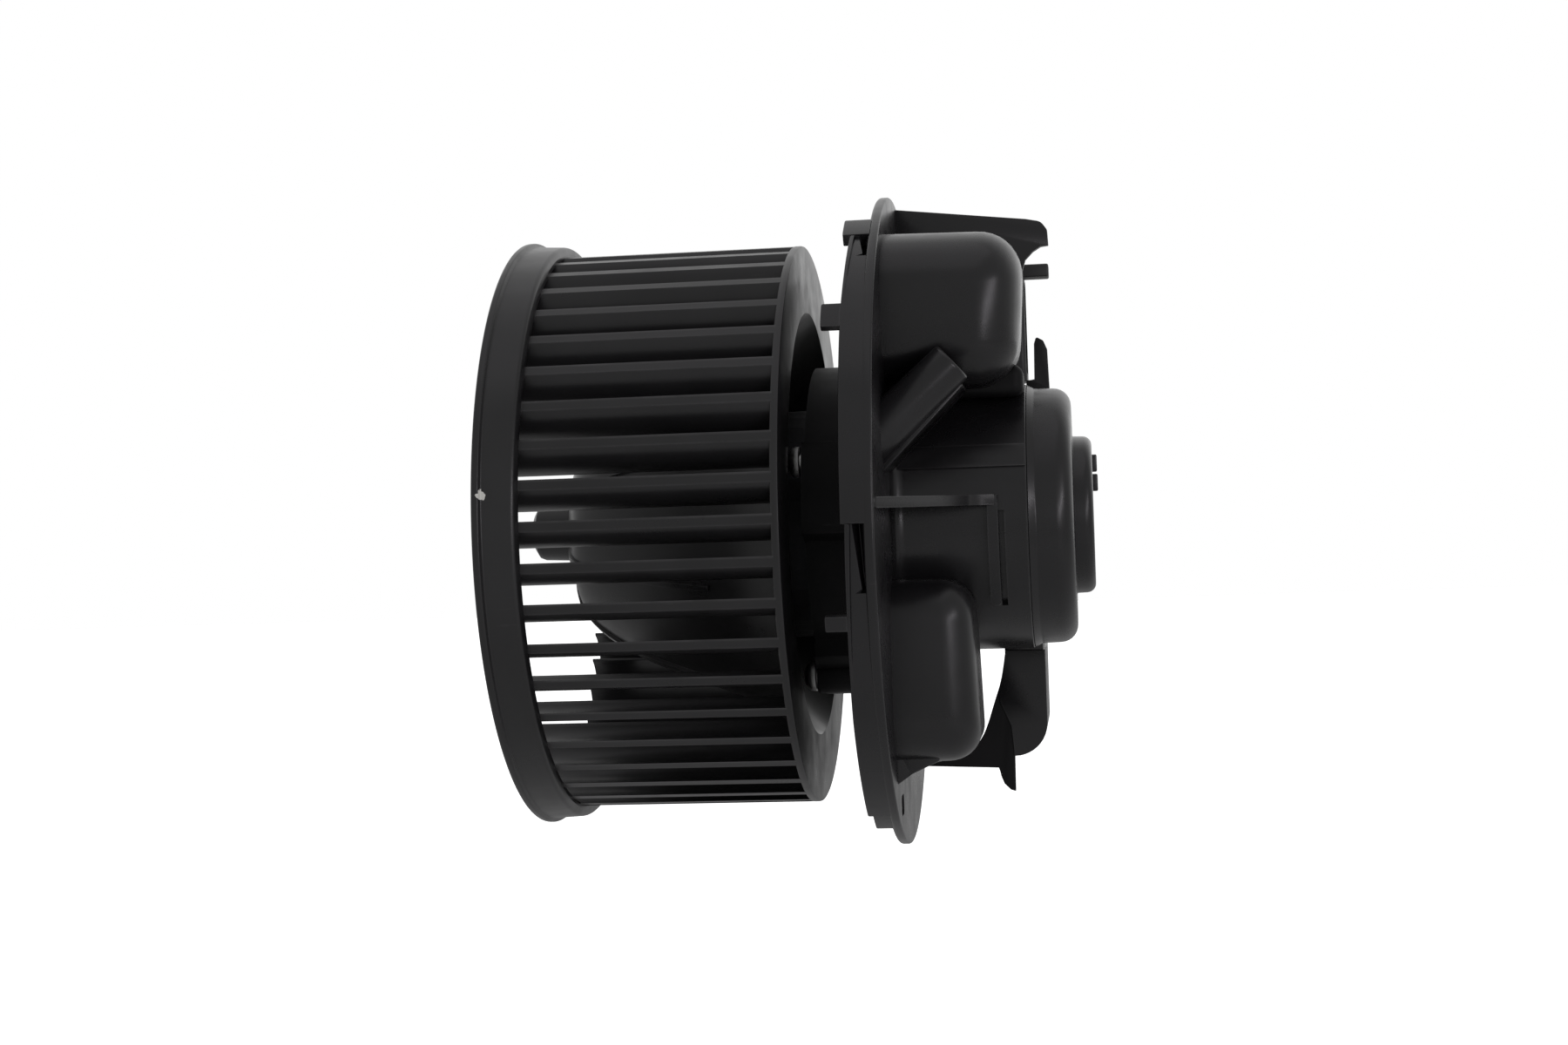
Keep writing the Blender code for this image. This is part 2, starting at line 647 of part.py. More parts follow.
def build_housing(mats):
    mat = mats["housing"]
    body = turned("motor_housing", [
        (0.0, 0.0), (FLANGE_R - RIM_ROUND, 0.0), (FLANGE_R, RIM_ROUND), (FLANGE_R, FLANGE_T - 0.4),
        (FLANGE_R - 0.4, FLANGE_T), (CUP_R, FLANGE_T), (CUP_R, CUP_Y), (0.0, CUP_Y),
    ], FLANGE_STEPS, mat)
    fuse(body, [
        bulge("upper_bulge", *UPPER_BULGE, UPPER_BULGE_Y, 8.5),
        bulge("lower_bulge", *LOWER_BULGE, LOWER_BULGE_Y, 7.5),
        plate_x("far_box", [
            (25.5, -36.6), (36.2, -36.6), (37.2, -37.6), (37.2, -56.4), (35.6, -60.4), (31.2, -62.4),
            (25.5, -62.4),
        ], *FAR_BOX_X),
        block("far_neck", (-48.0, 26.0, -40.0), (-14.9, CUP_Y, -18.0), 1.0, 1),
    ])
    duct = turned_along("duct", [
        (0, 0), (DUCT_R, 0), (DUCT_R - 0.8, DUCT_LEN - 0.8), (DUCT_R - 1.6, DUCT_LEN), (0, DUCT_LEN),
    ], 20, DUCT_START, DUCT_AXIS)
    web = plate_x("web", [(1.0, 10.2), (21.6, 31.2), (20.0, 35.4), (1.0, 19.0)], *WEB_X)
    fuse(body, [duct, web])
    fuse(body, details())
    hollows = [
        block("upper_hollow", (12.2, -9.0, 36.4), (45.0, UPPER_BULGE_Y - WALL, 66.3), 6.5, 1),
        block("lower_hollow", (14.0, -9.0, -56.0), (47.0, LOWER_BULGE_Y - WALL, -36.4), 5.0, 1),
        block("far_hollow", (-60.0, 27.4, -58.8), (-16.4, 34.6, -38.6), 1.5, 1),
    ]
    cut(body, hollows)
    for centre in (0.0, 180.0):
        fuse(body, skirt(centre))
        cut(body, ramp_cutters(centre))
    cut(body, [joined("screw_holes", screw_holes())])
    cut(body, [turned("cup_bore", [(0, -9), (CUP_IN_R, -9), (CUP_IN_R, CUP_Y + 3), (0, CUP_Y + 3)],
                      FLANGE_STEPS)])
    cut(body, [block("lead_window", (-46.0, 19.0, 4.0), (-24.0, 27.0, 20.0))])
    set_material(body, mat)
    return body


def details():
    """Ribs, latch arms and bosses moulded on the back of the housing."""
    pieces = []
    # gusset from the flange's rim up to the motor cup, then a band down beside the rear rim
    ledge = plate_x("ledge", [
        (0.5, 24.0), (28.0, 24.0), (28.0, CUP_R + 2.4), (24.0, CUP_R + 3.4), (FLANGE_T, LEDGE_REACH),
        (0.5, LEDGE_REACH),
    ], -LEDGE_T, 0.0)
    level = Matrix.Rotation(math.radians(90.0), 4, "Y")
    ledge.data.transform(Matrix.Translation((0, 0, LEDGE_Z * MM)) @ level)
    pieces.append(ledge)
    pieces.append(sector("band", CUP_R - 2.0, CUP_R + 2.2, -9.0, 40.0, 26.6, 29.0, 7))
    pieces.append(sector("sill", CUP_R - 1.0, CUP_R + 0.7, -8.0, 88.0, 28.0, CUP_Y, 11))
    pieces.append(sector("ridge", CUP_R - 1.0, CUP_R + 0.6, -31.0, -21.5, 2.0, CUP_Y, 4))
    # upper latch arm
    pieces.append(plate_x("wing", [
        (0.5, 80.9), (36.0, 76.6), (39.8, 75.8), (41.4, 73.6), (41.6, 69.6), (39.6, 69.4), (37.6, 68.2),
        (35.6, 66.2), (33.0, 58.0), (0.5, 58.0),
    ], *UPPER_ARM_X))
    # lower latch arm
    pieces.append(plate_x("arm", [
        (26.8, -34.6), (26.8, -37.0), (25.5, -42.0), (23.7, -47.6), (20.4, -56.6), (16.4, -60.8),
        (7.1, -64.0), (0.5, -64.4), (0.5, -65.4), (24.2, -66.2), (25.0, -69.0), (27.0, -70.8),
        (28.3, -71.6), (28.5, -50.0), (28.5, -34.6),
    ], *LOWER_ARM_X))
    # stop blocks on the flange edge
    pieces.append(sector("stop_upper", FLANGE_R - 3.0, FLANGE_R, -61.5, -57.0, SKIRT_FRONT_Y, 0.4, 3))
    pieces.append(sector("stop_lower", FLANGE_R - 3.0, FLANGE_R - 0.3, 58.0, 65.2, -3.8, 0.9, 3))
    # flared foot of the lower bulge
    pieces.append(plate_x("foot", [(0.5, -50.0), (14.0, -56.8), (6.0, -60.2), (0.5, -64.2)], 14.0, 42.0))
    # screw bosses behind the flange
    for angle in SCREW_ANGLES:
        x, z = polar(SCREW_R, angle)
        pieces.append(turned("boss", [(0, 0.5), (4.4, 0.5), (4.0, BOSS_END_Y), (0, BOSS_END_Y)], 16,
                             centre=(x, z)))
    return pieces


def screw_holes():
    holes = []
    for angle in SCREW_ANGLES:
        x, z = polar(SCREW_R, angle)
        radius = SCREW_SHANK_R + GAP
        depth = BOSS_END_Y - 0.9
        holes.append(turned("hole", [(0, -4), (radius, -4), (radius, depth), (0, depth)], 10, centre=(x, z)))
    return holes


def build_rear_cap(mat):
    y0 = CUP_Y + GAP
    cap = turned("rear_cap", [
        (CAP_R, y0), (CAP_R - 0.6, 42.0), (CAP_R - 2.4, 44.9), (CAP_R - 6.0, CAP_Y),
        (STEP_R, CAP_Y), (STEP_R - 0.2, 48.9), (STEP_R - 2.0, STEP_Y), (0, STEP_Y),
        (0, STEP_Y - WALL), (STEP_R - WALL, STEP_Y - WALL), (STEP_R - WALL, CAP_Y - WALL),
        (CAP_R - 6.0, CAP_Y - WALL), (CAP_R - WALL, 41.0), (CAP_R - WALL, y0),
    ], 40, mat)
    nub = [block("nub", (-3.0, STEP_Y - 1.0, 5.8), (3.0, NUB_Y, 10.1), 0.3, 1),
           block("nub", (-3.0, STEP_Y - 1.0, 10.7), (3.0, NUB_Y - 0.1, 15.0), 0.3, 1)]
    fuse(cap, nub)
    set_material(cap, mat)


def collar_outline():
    """Rounded retainer outline: two side ears for screws and a flatter foot."""
    points = []
    steps = 72
    for i in range(steps):
        angle = 360.0 * i / steps
        side = (180.0 - angle) if 90.0 < angle <= 270.0 else (angle if angle <= 90.0 else angle - 360.0)
        radius = COLLAR_R
        if -27.5 <= side <= 5.0:
            radius = EAR_R
        elif side >= 46.0:
            radius = FOOT_R
        points.append(polar(radius, angle))
    return points


def build_collar(mats):
    collar = prism("motor_retainer", collar_outline(), *COLLAR_Y, mats["housing"])
    eyes = []
    for angle in SCREW_ANGLES[1:3]:
        x, z = polar(SCREW_R, angle)
        outline = [(x + u, z + v) for u, v in arc_points(EYE_R, 0.0, 342.0, 20)]
        eyes.append(prism("eye", outline, *COLLAR_Y))
    fuse(collar, eyes)
    bore = turned("bore", [(0, -30), (COLLAR_IN_R, -30), (COLLAR_IN_R, 9), (0, 9)], 36)
    holes = []
    for angle in SCREW_ANGLES:
        x, z = polar(SCREW_R, angle)
        radius = SCREW_SHANK_R + GAP
        holes.append(turned("hole", [(0, -30), (radius, -30), (radius, 9), (0, 9)], 10, centre=(x, z)))
    cut(collar, [bore] + holes)
    set_material(collar, mats["housing"])
    for i, angle in enumerate(SCREW_ANGLES):
        x, z = polar(SCREW_R, angle)
        face = COLLAR_Y[0] - GAP
        top = face - SCREW_HEAD_H
        screw = turned(f"retainer_screw_{i + 1}", [
            (0, top), (2.2, top), (3.2, top + 0.7), (SCREW_HEAD_R, top + 1.8), (SCREW_HEAD_R, face),
            (SCREW_SHANK_R, face), (SCREW_SHANK_R, SCREW_END_Y - 0.9), (1.0, SCREW_END_Y), (0, SCREW_END_Y),
        ], 10, mats["screw"], centre=(x, z))
        slot = [block("slot", (x - 2.0, top - 1.0, z - 0.4), (x + 2.0, top + 1.1, z + 0.4)),
                block("slot", (x - 0.4, top - 1.0, z - 2.0), (x + 0.4, top + 1.1, z + 2.0))]
        cut(screw, slot)
        set_material(screw, mats["screw"])
    for name, y0, y1, outer in (("front_isolator", -16.0, -8.0, COLLAR_IN_R - GAP),
                                ("rear_isolator", 8.0, 15.0, CUP_IN_R - GAP)):
        inner = CAN_R + GAP
        mid = 0.5 * (inner + outer) + 0.2
        turned(name, [(inner, y0), (outer, y0), (mid, 0.5 * (y0 + y1)), (outer, y1), (inner, y1)],
               28, mats["rubber"])


def build_connector(mats):
    """Two-pole plug socket on the far side, with its blades."""
    shell = block("connector_housing", *PLUG, 1.2, 2, mats["connector"])
    latch = block("latch", (-44.0, 22.0, PLUG[1][2] - 0.8), (-36.0, 41.0, 67.9), 0.5, 1)
    finger = plate_x("finger", [(34.0, 36.8), (36.4, 36.8), (36.4, 46.6), (37.0, 48.5), (38.8, 47.6),
                                (39.8, 45.6), (40.2, 34.2), (34.0, 34.2)], -41.4, -38.6)
    fuse(shell, [latch, finger])
    cut(shell, [block("socket", (-48.0, 21.0, 38.6), (-32.0, 37.0, 62.8), 0.8, 1)])
    slots = []
    half = TERMINAL_HALF + GAP
    for z in TERMINAL_Z:
        slots.append(block("slot", (TERMINAL_X[0] - GAP, -1.0, z - half),
                           (TERMINAL_X[1] + GAP, 22.0, z + half)))
    cut(shell, slots)
    set_material(shell, mats["connector"])
    for i, z in enumerate(TERMINAL_Z):
        low, high = z - TERMINAL_HALF, z + TERMINAL_HALF
        plate_x(f"terminal_{i + 1}", [
            (5.0, low), (31.0, low), (32.6, low + 1.4), (32.6, high - 1.4), (31.0, high), (5.0, high),
        ], *TERMINAL_X, mats["brass"])


def main():
    clear_scene()
    mats = {
        "wheel": material("wheel_plastic", (0.022, 0.022, 0.025), 0.38),
        "housing": material("housing_plastic", (0.020, 0.020, 0.023), 0.34),
        "connector": material("connector_plastic", (0.018, 0.018, 0.020), 0.45),
        "steel": material("shaft_steel", (0.62, 0.62, 0.64), 0.22, 1.0),
        "spring": material("spring_steel", (0.55, 0.55, 0.57), 0.3, 1.0),
        "can": material("black_can_steel", (0.045, 0.045, 0.048), 0.42, 1.0),
        "screw": material("screw_zinc", (0.72, 0.72, 0.72), 0.25, 1.0),
        "core": material("lamination_steel", (0.28, 0.28, 0.30), 0.45, 1.0),
        "copper": material("enamelled_copper", (0.55, 0.22, 0.09), 0.35, 0.8),
        "comm": material("commutator_copper", (0.72, 0.36, 0.20), 0.3, 1.0),
        "washer": material("nylon_washer", (0.75, 0.72, 0.62), 0.5),
        "ferrite": material("ferrite", (0.07, 0.07, 0.08), 0.6),
        "card": material("brush_card_plastic", (0.12, 0.08, 0.05), 0.5),
        "carbon": material("brush_carbon", (0.05, 0.05, 0.055), 0.55),
        "bronze": material("sintered_bronze", (0.48, 0.34, 0.18), 0.5, 0.9),
        "rubber": material("isolator_rubber", (0.03, 0.03, 0.03), 0.75),
        "brass": material("terminal_brass", (0.75, 0.60, 0.30), 0.28, 1.0),
    }
    build_rotor(mats)
    build_motor(mats)
    build_housing(mats)
    build_rear_cap(mats["housing"])
    build_collar(mats)
    build_connector(mats)


main()
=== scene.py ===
"""Looks of the heater blower: fine meshes over the CAD frame, finishes, studio and camera.

Measures are millimetres in the frame of the CAD model: the spin axis is Y, the flange seats on
Y = 0, the inlet looks along -Y and +Z is up.  Angles run in degrees from +X down towards -Z.
"""
import json
import math

import bmesh
import bpy
from mathutils import Matrix, Vector


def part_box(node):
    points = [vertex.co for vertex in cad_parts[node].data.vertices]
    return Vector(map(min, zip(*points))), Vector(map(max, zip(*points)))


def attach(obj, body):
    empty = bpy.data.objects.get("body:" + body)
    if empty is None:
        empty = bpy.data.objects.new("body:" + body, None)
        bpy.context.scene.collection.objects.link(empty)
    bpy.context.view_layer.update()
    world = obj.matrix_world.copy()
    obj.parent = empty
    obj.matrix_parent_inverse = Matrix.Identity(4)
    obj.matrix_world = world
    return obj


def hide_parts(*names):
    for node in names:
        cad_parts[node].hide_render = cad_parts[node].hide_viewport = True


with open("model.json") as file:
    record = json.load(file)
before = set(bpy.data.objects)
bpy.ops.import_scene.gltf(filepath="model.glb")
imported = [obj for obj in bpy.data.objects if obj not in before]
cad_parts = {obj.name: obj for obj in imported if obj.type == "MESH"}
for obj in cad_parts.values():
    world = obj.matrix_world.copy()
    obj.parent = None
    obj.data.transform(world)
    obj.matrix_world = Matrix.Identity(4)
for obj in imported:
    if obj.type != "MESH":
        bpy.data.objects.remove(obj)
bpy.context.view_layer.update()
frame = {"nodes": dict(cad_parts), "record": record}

MM = 0.001
ROTOR = "rotor"
HOUSING = "housing"
WELD_MM = 0.0004              # vertices closer than this become one
SHARP = 35.0                  # edges that turn by more degrees stay sharp
WHEEL_SHARP = 30.0


def corners_mm(node):
    """Low and high corner of a CAD node's box."""
    low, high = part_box(node)
    return Vector(low) / MM, Vector(high) / MM


# ---- sizes taken from the CAD nodes ------------------------------------------------------------
BLADES_LOW, BLADES_HIGH = corners_mm("impeller_blades")
HUB_LOW, HUB_HIGH = corners_mm("impeller_hub")
CASE_HIGH = corners_mm("motor_housing")[1]
CAP_LOW, CAP_HIGH = corners_mm("rear_cap")
COLLAR_LOW, COLLAR_HIGH = corners_mm("motor_retainer")
PLUG_LOW = corners_mm("connector_housing")[0]

INLET_Y = BLADES_LOW.y
LIP_R = BLADES_HIGH.x
WHEEL_R = HUB_HIGH.x
BACK_Y = HUB_HIGH.y
NOSE_Y = HUB_LOW.y
FLANGE_R = CASE_HIGH.x
CAP_R = CAP_HIGH.x
COLLAR_Y = (COLLAR_LOW.y, COLLAR_HIGH.y)

# ---- wheel -------------------------------------------------------------------------------------
BLADES = 46
BLADE_INNER_R = 61.6
BLADE_T = (0.9, 1.35)         # thickness at the inner edge and at the tip
BLADE_LEAN = (-6.0, 63.0)     # degrees from the radial direction, inner edge and tip
BLADE_PHASE = 2.7
RING_R = 72.7
RING_LEN = 10.4
RING_IN_R = 70.4
RING_STEPS = 256
CHIP_ANGLE = math.radians(7.0)
CHIP_R = 74.2
CHIP_REACH = 1.1
BACK_T = 2.0
ANNULUS_R = 54.0
BORE_R = 3.3
BOSS_R = 7.0
HUB_STEPS = 230
HUB_RIBS = 8
HUB_RIB_PHASE = 20.0

# ---- housing -----------------------------------------------------------------------------------
FLANGE_T = 2.5
FLANGE_STEPS = 288
SKIRT_T = 2.2
SKIRT_HALF = 59.0
SKIRT_FRONT_Y = -5.1
CUP_R = 33.4
CUP_IN_R = 31.2
CUP_Y = 35.0
CUP_STEPS = 200
WALL = 2.0
CAP_Y = 46.0
STEP_R = 19.9
STEP_Y = 50.8
BOSS_END_Y = 5.6
SCREW_R = 43.4                # circle of the screws' centres
SCREW_ANGLES = (-20.0, 60.5, 119.5, 200.0)
SCREW_HEAD_R = 3.7
SCREW_SHANK_R = 1.9
COLLAR_BORE_R = 32.6


# ================================================================================================
# Outlines
# ================================================================================================
def polar(radius, angle):
    """(x, z) of a spot on a circle round the spin axis."""
    a = math.radians(angle)
    return radius * math.cos(a), -radius * math.sin(a)


def arc(radius, start, end, count):
    return [polar(radius, start + (end - start) * i / (count - 1)) for i in range(count)]


def rounded(corners, steps=4):
    """Closed outline through (u, v, radius) corners, each corner turned into an arc."""
    points = []
    count = len(corners)
    for i, (u, v, radius) in enumerate(corners):
        here = Vector((u, v))
        before = Vector(corners[i - 1][:2]) - here
        after = Vector(corners[(i + 1) % count][:2]) - here
        half = 0.5 * before.angle(after)
        if radius <= 0 or half > 1.55:
            points.append((u, v))
            continue
        reach = min(radius / math.tan(half), 0.48 * min(before.length, after.length))
        radius = reach * math.tan(half)
        a, b = before.normalized(), after.normalized()
        centre = here + (a + b).normalized() * (radius / math.sin(half))
        start, end = here + a * reach - centre, here + b * reach - centre
        turn = math.atan2(start.cross(end), start.dot(end))
        for k in range(steps + 1):
            t = turn * k / steps
            ct, st = math.cos(t), math.sin(t)
            points.append((centre.x + start.x * ct - start.y * st,
                           centre.y + start.x * st + start.y * ct))
    return points


def spline(points, steps):
    """Smooth line through points, ends included."""
    line = []
    last = len(points) - 1
    for i in range(last):
        p0, p1 = points[max(i - 1, 0)], points[i]
        p2, p3 = points[i + 1], points[min(i + 2, last)]
        for k in range(steps):
            t = k / steps
            weights = (-t + 2 * t * t - t ** 3, 2 - 5 * t * t + 3 * t ** 3,
                       t + 4 * t * t - 3 * t ** 3, -t * t + t ** 3)
            line.append(tuple(0.5 * sum(w * p[c] for w, p in zip(weights, (p0, p1, p2, p3)))
                              for c in range(2)))
    line.append(points[last])
    return line


# ================================================================================================
# Meshes
# ================================================================================================
def piece(bm, name, mat, body, node, sharp=SHARP):
    """Turn a bmesh in millimetres into a smooth piece that rides on a body and stands for a node."""
    bmesh.ops.remove_doubles(bm, verts=bm.verts, dist=WELD_MM)
    bmesh.ops.recalc_face_normals(bm, faces=bm.faces)
    bmesh.ops.scale(bm, vec=(MM, MM, MM), verts=bm.verts)
    mesh = bpy.data.meshes.new(name)
    bm.to_mesh(mesh)
    bm.free()
    obj = bpy.data.objects.new(name, mesh)
    bpy.context.scene.collection.objects.link(obj)
    mesh.materials.append(mat)
    mesh.shade_smooth()
    mesh.set_sharp_from_angle(angle=math.radians(sharp))
    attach(obj, body)
    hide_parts(node)
    return obj


def add_turned(bm, outline, steps, centre=(0.0, 0.0), turn=None):
    """Revolve a closed (radius, y) outline about the Y direction."""
    rings = []
    for radius, y in outline:
        count = steps if radius > 1e-6 else 1
        ring = []
        for i in range(count):
            x, z = polar(radius, 360.0 * i / steps)
            spot = Vector((centre[0] + x, y, centre[1] + z))
            ring.append(bm.verts.new(turn @ spot if turn else spot))
        rings.append(ring)
    for k, ring in enumerate(rings):
        other = rings[(k + 1) % len(rings)]
        if len(ring) == 1 and len(other) == 1:
            continue
        for i in range(steps):
            j = (i + 1) % steps
            if len(ring) == 1:
                bm.faces.new((ring[0], other[j], other[i]))
            elif len(other) == 1:
                bm.faces.new((ring[i], ring[j], other[0]))
            else:
                bm.faces.new((ring[i], ring[j], other[j], other[i]))


def add_loft(bm, sections):
    """Skin a row of equal loops of points and close both ends."""
    loops = [[bm.verts.new(point) for point in section] for section in sections]
    for a, b in zip(loops, loops[1:]):
        for i in range(len(a)):
            j = (i + 1) % len(a)
            bm.faces.new((a[i], a[j], b[j], b[i]))
    bm.faces.new(loops[0])
    bm.faces.new(list(reversed(loops[-1])))
    return loops


def add_slab(bm, outline, axis, low, high, edge=0.3, segments=2):
    """Extrude an (x, z) outline along Y, or a (y, z) outline along X, with rounded rims."""
    own = bmesh.new()
    sections = []
    for w in (low, high):
        sections.append([(u, w, v) if axis == "y" else (w, u, v) for u, v in outline])
    loops = add_loft(own, sections)
    if edge > 0:
        rims = []
        for loop in loops:
            for i, vert in enumerate(loop):
                rims.append(own.edges.get((vert, loop[(i + 1) % len(loop)])))
        bmesh.ops.bevel(own, geom=rims, offset=edge, segments=segments, profile=0.5,
                        affect="EDGES", clamp_overlap=True)
    merge(bm, own)


def merge(bm, own):
    """Move one bmesh's content into another."""
    scratch = bpy.data.meshes.new("scratch")
    own.to_mesh(scratch)
    own.free()
    bm.from_mesh(scratch)
    bpy.data.meshes.remove(scratch)


def add_sector(bm, r_in, r_out, start, end, y0, y1, edge=0.3, steps_per_degree=0.7):
    """Part of a ring round the spin axis, between two angles."""
    count = max(4, int(abs(end - start) * steps_per_degree))
    outline = arc(r_out, start, end, count) + arc(r_in, end, start, count)
    add_slab(bm, outline, "y", y0, y1, edge)


def add_box(bm, low, high, edge=0.4, segments=3):
    """Box from its low corner to its high corner, with rounded edges."""
    own = bmesh.new()
    bmesh.ops.create_cube(own, size=1.0)
    for vert in own.verts:
        for axis in range(3):
            vert.co[axis] = low[axis] if vert.co[axis] < 0 else high[axis]
    bmesh.ops.bevel(own, geom=list(own.edges), offset=edge, segments=segments, profile=0.5,
                    affect="EDGES", clamp_overlap=True)
    merge(bm, own)


def pillow_loop(low, high, radii, inset, y, bow):
    """Loop of a rounded (x, z) rectangle, inset, with its +X side bowed outward by bow."""
    least = 0.3
    corner = [max(r - inset, least) for r in radii]
    x0, x1 = low[0] + inset, high[0] - inset
    z0, z1 = low[1] + inset, high[1] - inset
    spots = [(x0, z0, corner[0]), (x1, z0, corner[1]), (x1, z1, corner[2]), (x0, z1, corner[3])]
    middle = 0.5 * (x0 + x1)
    loop = []
    for u, v in rounded(spots, 10):
        shift = 0.0
        if u > middle:
            t = (v - z0) / (z1 - z0)
            shift = bow * (4.0 * t * (1.0 - t) - 1.0)
        loop.append((u + shift, y, v))
    return loop


def add_bulge(bm, low, high, radii, end_radius, y1, tilt=0.0, bow=0.0):
    """Hollow moulded bulge: drafted sides, open at the flange; tilt leans its domed end along Z."""
    draft = math.radians(1.2)
    steps = 9
    root = FLANGE_T - 0.8

    def skin(offset, tip, radius):
        loops = []
        lean = math.tan(draft)
        for y in (root, root + 0.5 * (tip - radius - root), tip - radius):
            loops.append(pillow_loop(low, high, radii, offset + lean * (y - root), y, bow))
        base = offset + lean * (tip - radius - root)
        for k in range(1, steps + 1):
            a = 0.5 * math.pi * k / steps
            loops.append(pillow_loop(low, high, radii, base + radius * (1 - math.cos(a)),
                                     tip - radius * (1 - math.sin(a)), bow))
        return loops

    outside = skin(0.0, y1, end_radius)
    inside = skin(WALL, y1 - WALL, max(end_radius - WALL, 1.0))
    sections = []
    for loop in list(reversed(outside)) + inside:
        sections.append([(x, y + tilt * (z - high[1]) * (y - root) / (y1 - root), z)
                         for x, y, z in loop])
    add_loft(bm, sections)


def modified(obj, kind, **settings):
    """Apply one modifier to a piece's mesh."""
    mod = obj.modifiers.new(kind.lower(), kind)
    for key, value in settings.items():
        setattr(mod, key, value)
    graph = bpy.context.evaluated_depsgraph_get()
    mesh = bpy.data.meshes.new_from_object(obj.evaluated_get(graph))
    obj.modifiers.clear()
    old = obj.data
    mesh.name = old.name
    obj.data = mesh
    bpy.data.meshes.remove(old)


def cut_away(obj, bm):
    """Boolean a bmesh cutter, in millimetres, out of a piece."""
    bmesh.ops.recalc_face_normals(bm, faces=bm.faces)
    bmesh.ops.scale(bm, vec=(MM, MM, MM), verts=bm.verts)
    mesh = bpy.data.meshes.new("cutter")
    bm.to_mesh(mesh)
    bm.free()
    cutter = bpy.data.objects.new("cutter", mesh)
    bpy.context.scene.collection.objects.link(cutter)
    modified(obj, "BOOLEAN", operation="DIFFERENCE", solver="EXACT", object=cutter)
    bpy.data.objects.remove(cutter, do_unlink=True)
    obj.data.shade_smooth()
    obj.data.set_sharp_from_angle(angle=math.radians(SHARP))


# ================================================================================================
# Materials
# ================================================================================================
class Finish:
    """A Principled material with a few helpers for its nodes."""

    def __init__(self, name, colour, roughness, metallic=0.0):
        self.mat = bpy.data.materials.new(name)
        self.mat.use_nodes = True
        self.tree = self.mat.node_tree
        self.shader = self.tree.nodes["Principled BSDF"]
        self.shader.inputs["Base Color"].default_value = (*colour, 1.0)
        self.shader.inputs["Roughness"].default_value = roughness
        self.shader.inputs["Metallic"].default_value = metallic
        self.place = self.tree.nodes.new("ShaderNodeTexCoord").outputs["Object"]
        self.height = None

    def link(self, source, target):
        """Join an output socket to an input socket."""
        self.tree.links.new(source, target)

    def math(self, kind, a, b):
        """Result of one arithmetic step on two sockets or numbers."""
        node = self.tree.nodes.new("ShaderNodeMath")
        node.operation = kind
        for socket, value in zip(node.inputs, (a, b)):
            if isinstance(value, (int, float)):
                socket.default_value = value
            else:
                self.link(value, socket)
        return node.outputs[0]

    def stretched(self, scale):
        """Object coordinates scaled per axis; a small factor draws a texture out along that axis."""
        node = self.tree.nodes.new("ShaderNodeMapping")
        node.inputs["Scale"].default_value = scale
        self.link(self.place, node.inputs["Vector"])
        return node.outputs["Vector"]

    def noise(self, size_mm, detail=2.0, rough=0.5, place=None):
        """Noise whose blobs are about size_mm across, from 0 to 1."""
        node = self.tree.nodes.new("ShaderNodeTexNoise")
        node.inputs["Scale"].default_value = 1.0 / (size_mm * MM)
        node.inputs["Detail"].default_value = detail
        node.inputs["Roughness"].default_value = rough
        self.link(place or self.place, node.inputs["Vector"])
        return node.outputs["Fac"]

    def bands(self, pitch_mm, direction):
        """Straight bands that repeat every pitch_mm along X, Y or Z, from 0 to 1."""
        radians_per_unit = 20.0
        node = self.tree.nodes.new("ShaderNodeTexWave")
        node.bands_direction = direction
        node.inputs["Scale"].default_value = 2.0 * math.pi / (radians_per_unit * pitch_mm * MM)
        self.link(self.place, node.inputs["Vector"])
        return node.outputs["Fac"]

    def ramp(self, source, low, high, start=0.0, end=1.0):
        """Clamped step from start to end while the source goes from low to high."""
        node = self.tree.nodes.new("ShaderNodeMapRange")
        node.clamp = True
        node.inputs["From Min"].default_value = low
        node.inputs["From Max"].default_value = high
        node.inputs["To Min"].default_value = start
        node.inputs["To Max"].default_value = end
        self.link(source, node.inputs["Value"])
        return node.outputs["Result"]

    def edges(self, reach_mm=0.6):
        """1 on convex edges, 0 elsewhere; reach_mm is how far from an edge the mask goes."""
        here = self.tree.nodes.new("ShaderNodeNewGeometry")
        convex = self.ramp(here.outputs["Pointiness"], 0.515, 0.56)
        softened = self.tree.nodes.new("ShaderNodeBevel")
        softened.samples = 4
        softened.inputs["Radius"].default_value = reach_mm * MM
        turn = self.tree.nodes.new("ShaderNodeVectorMath")
        turn.operation = "DOT_PRODUCT"
        self.link(softened.outputs["Normal"], turn.inputs[0])
        self.link(here.outputs["Normal"], turn.inputs[1])
        near = self.ramp(turn.outputs["Value"], 0.92, 0.995, 1.0, 0.0)
        return self.math("MULTIPLY", convex, near)

    def mix(self, mask, a, b):
        """Colour a where the mask is 0 and colour b where it is 1."""
        node = self.tree.nodes.new("ShaderNodeMix")
        node.data_type = "RGBA"
        self.link(mask, node.inputs[0])
        for socket, value in ((node.inputs[6], a), (node.inputs[7], b)):
            if isinstance(value, tuple):
                socket.default_value = (*value, 1.0)
            else:
                self.link(value, socket)
        return node.outputs[2]

    def bump(self, source, depth_mm, strength):
        """Add one more layer of relief to the surface."""
        node = self.tree.nodes.new("ShaderNodeBump")
        node.inputs["Strength"].default_value = strength
        node.inputs["Distance"].default_value = depth_mm * MM
        self.link(source, node.inputs["Height"])
        if self.height is not None:
            self.link(self.height, node.inputs["Normal"])
        self.height = node.outputs["Normal"]

    def done(self, colour, roughness=None):
        """Plug colour, roughness and relief into the shader and return the material."""
        self.link(colour, self.shader.inputs["Base Color"])
        if roughness is not None:
            self.link(roughness, self.shader.inputs["Roughness"])
        if self.height is not None:
            self.link(self.height, self.shader.inputs["Normal"])
        return self.mat


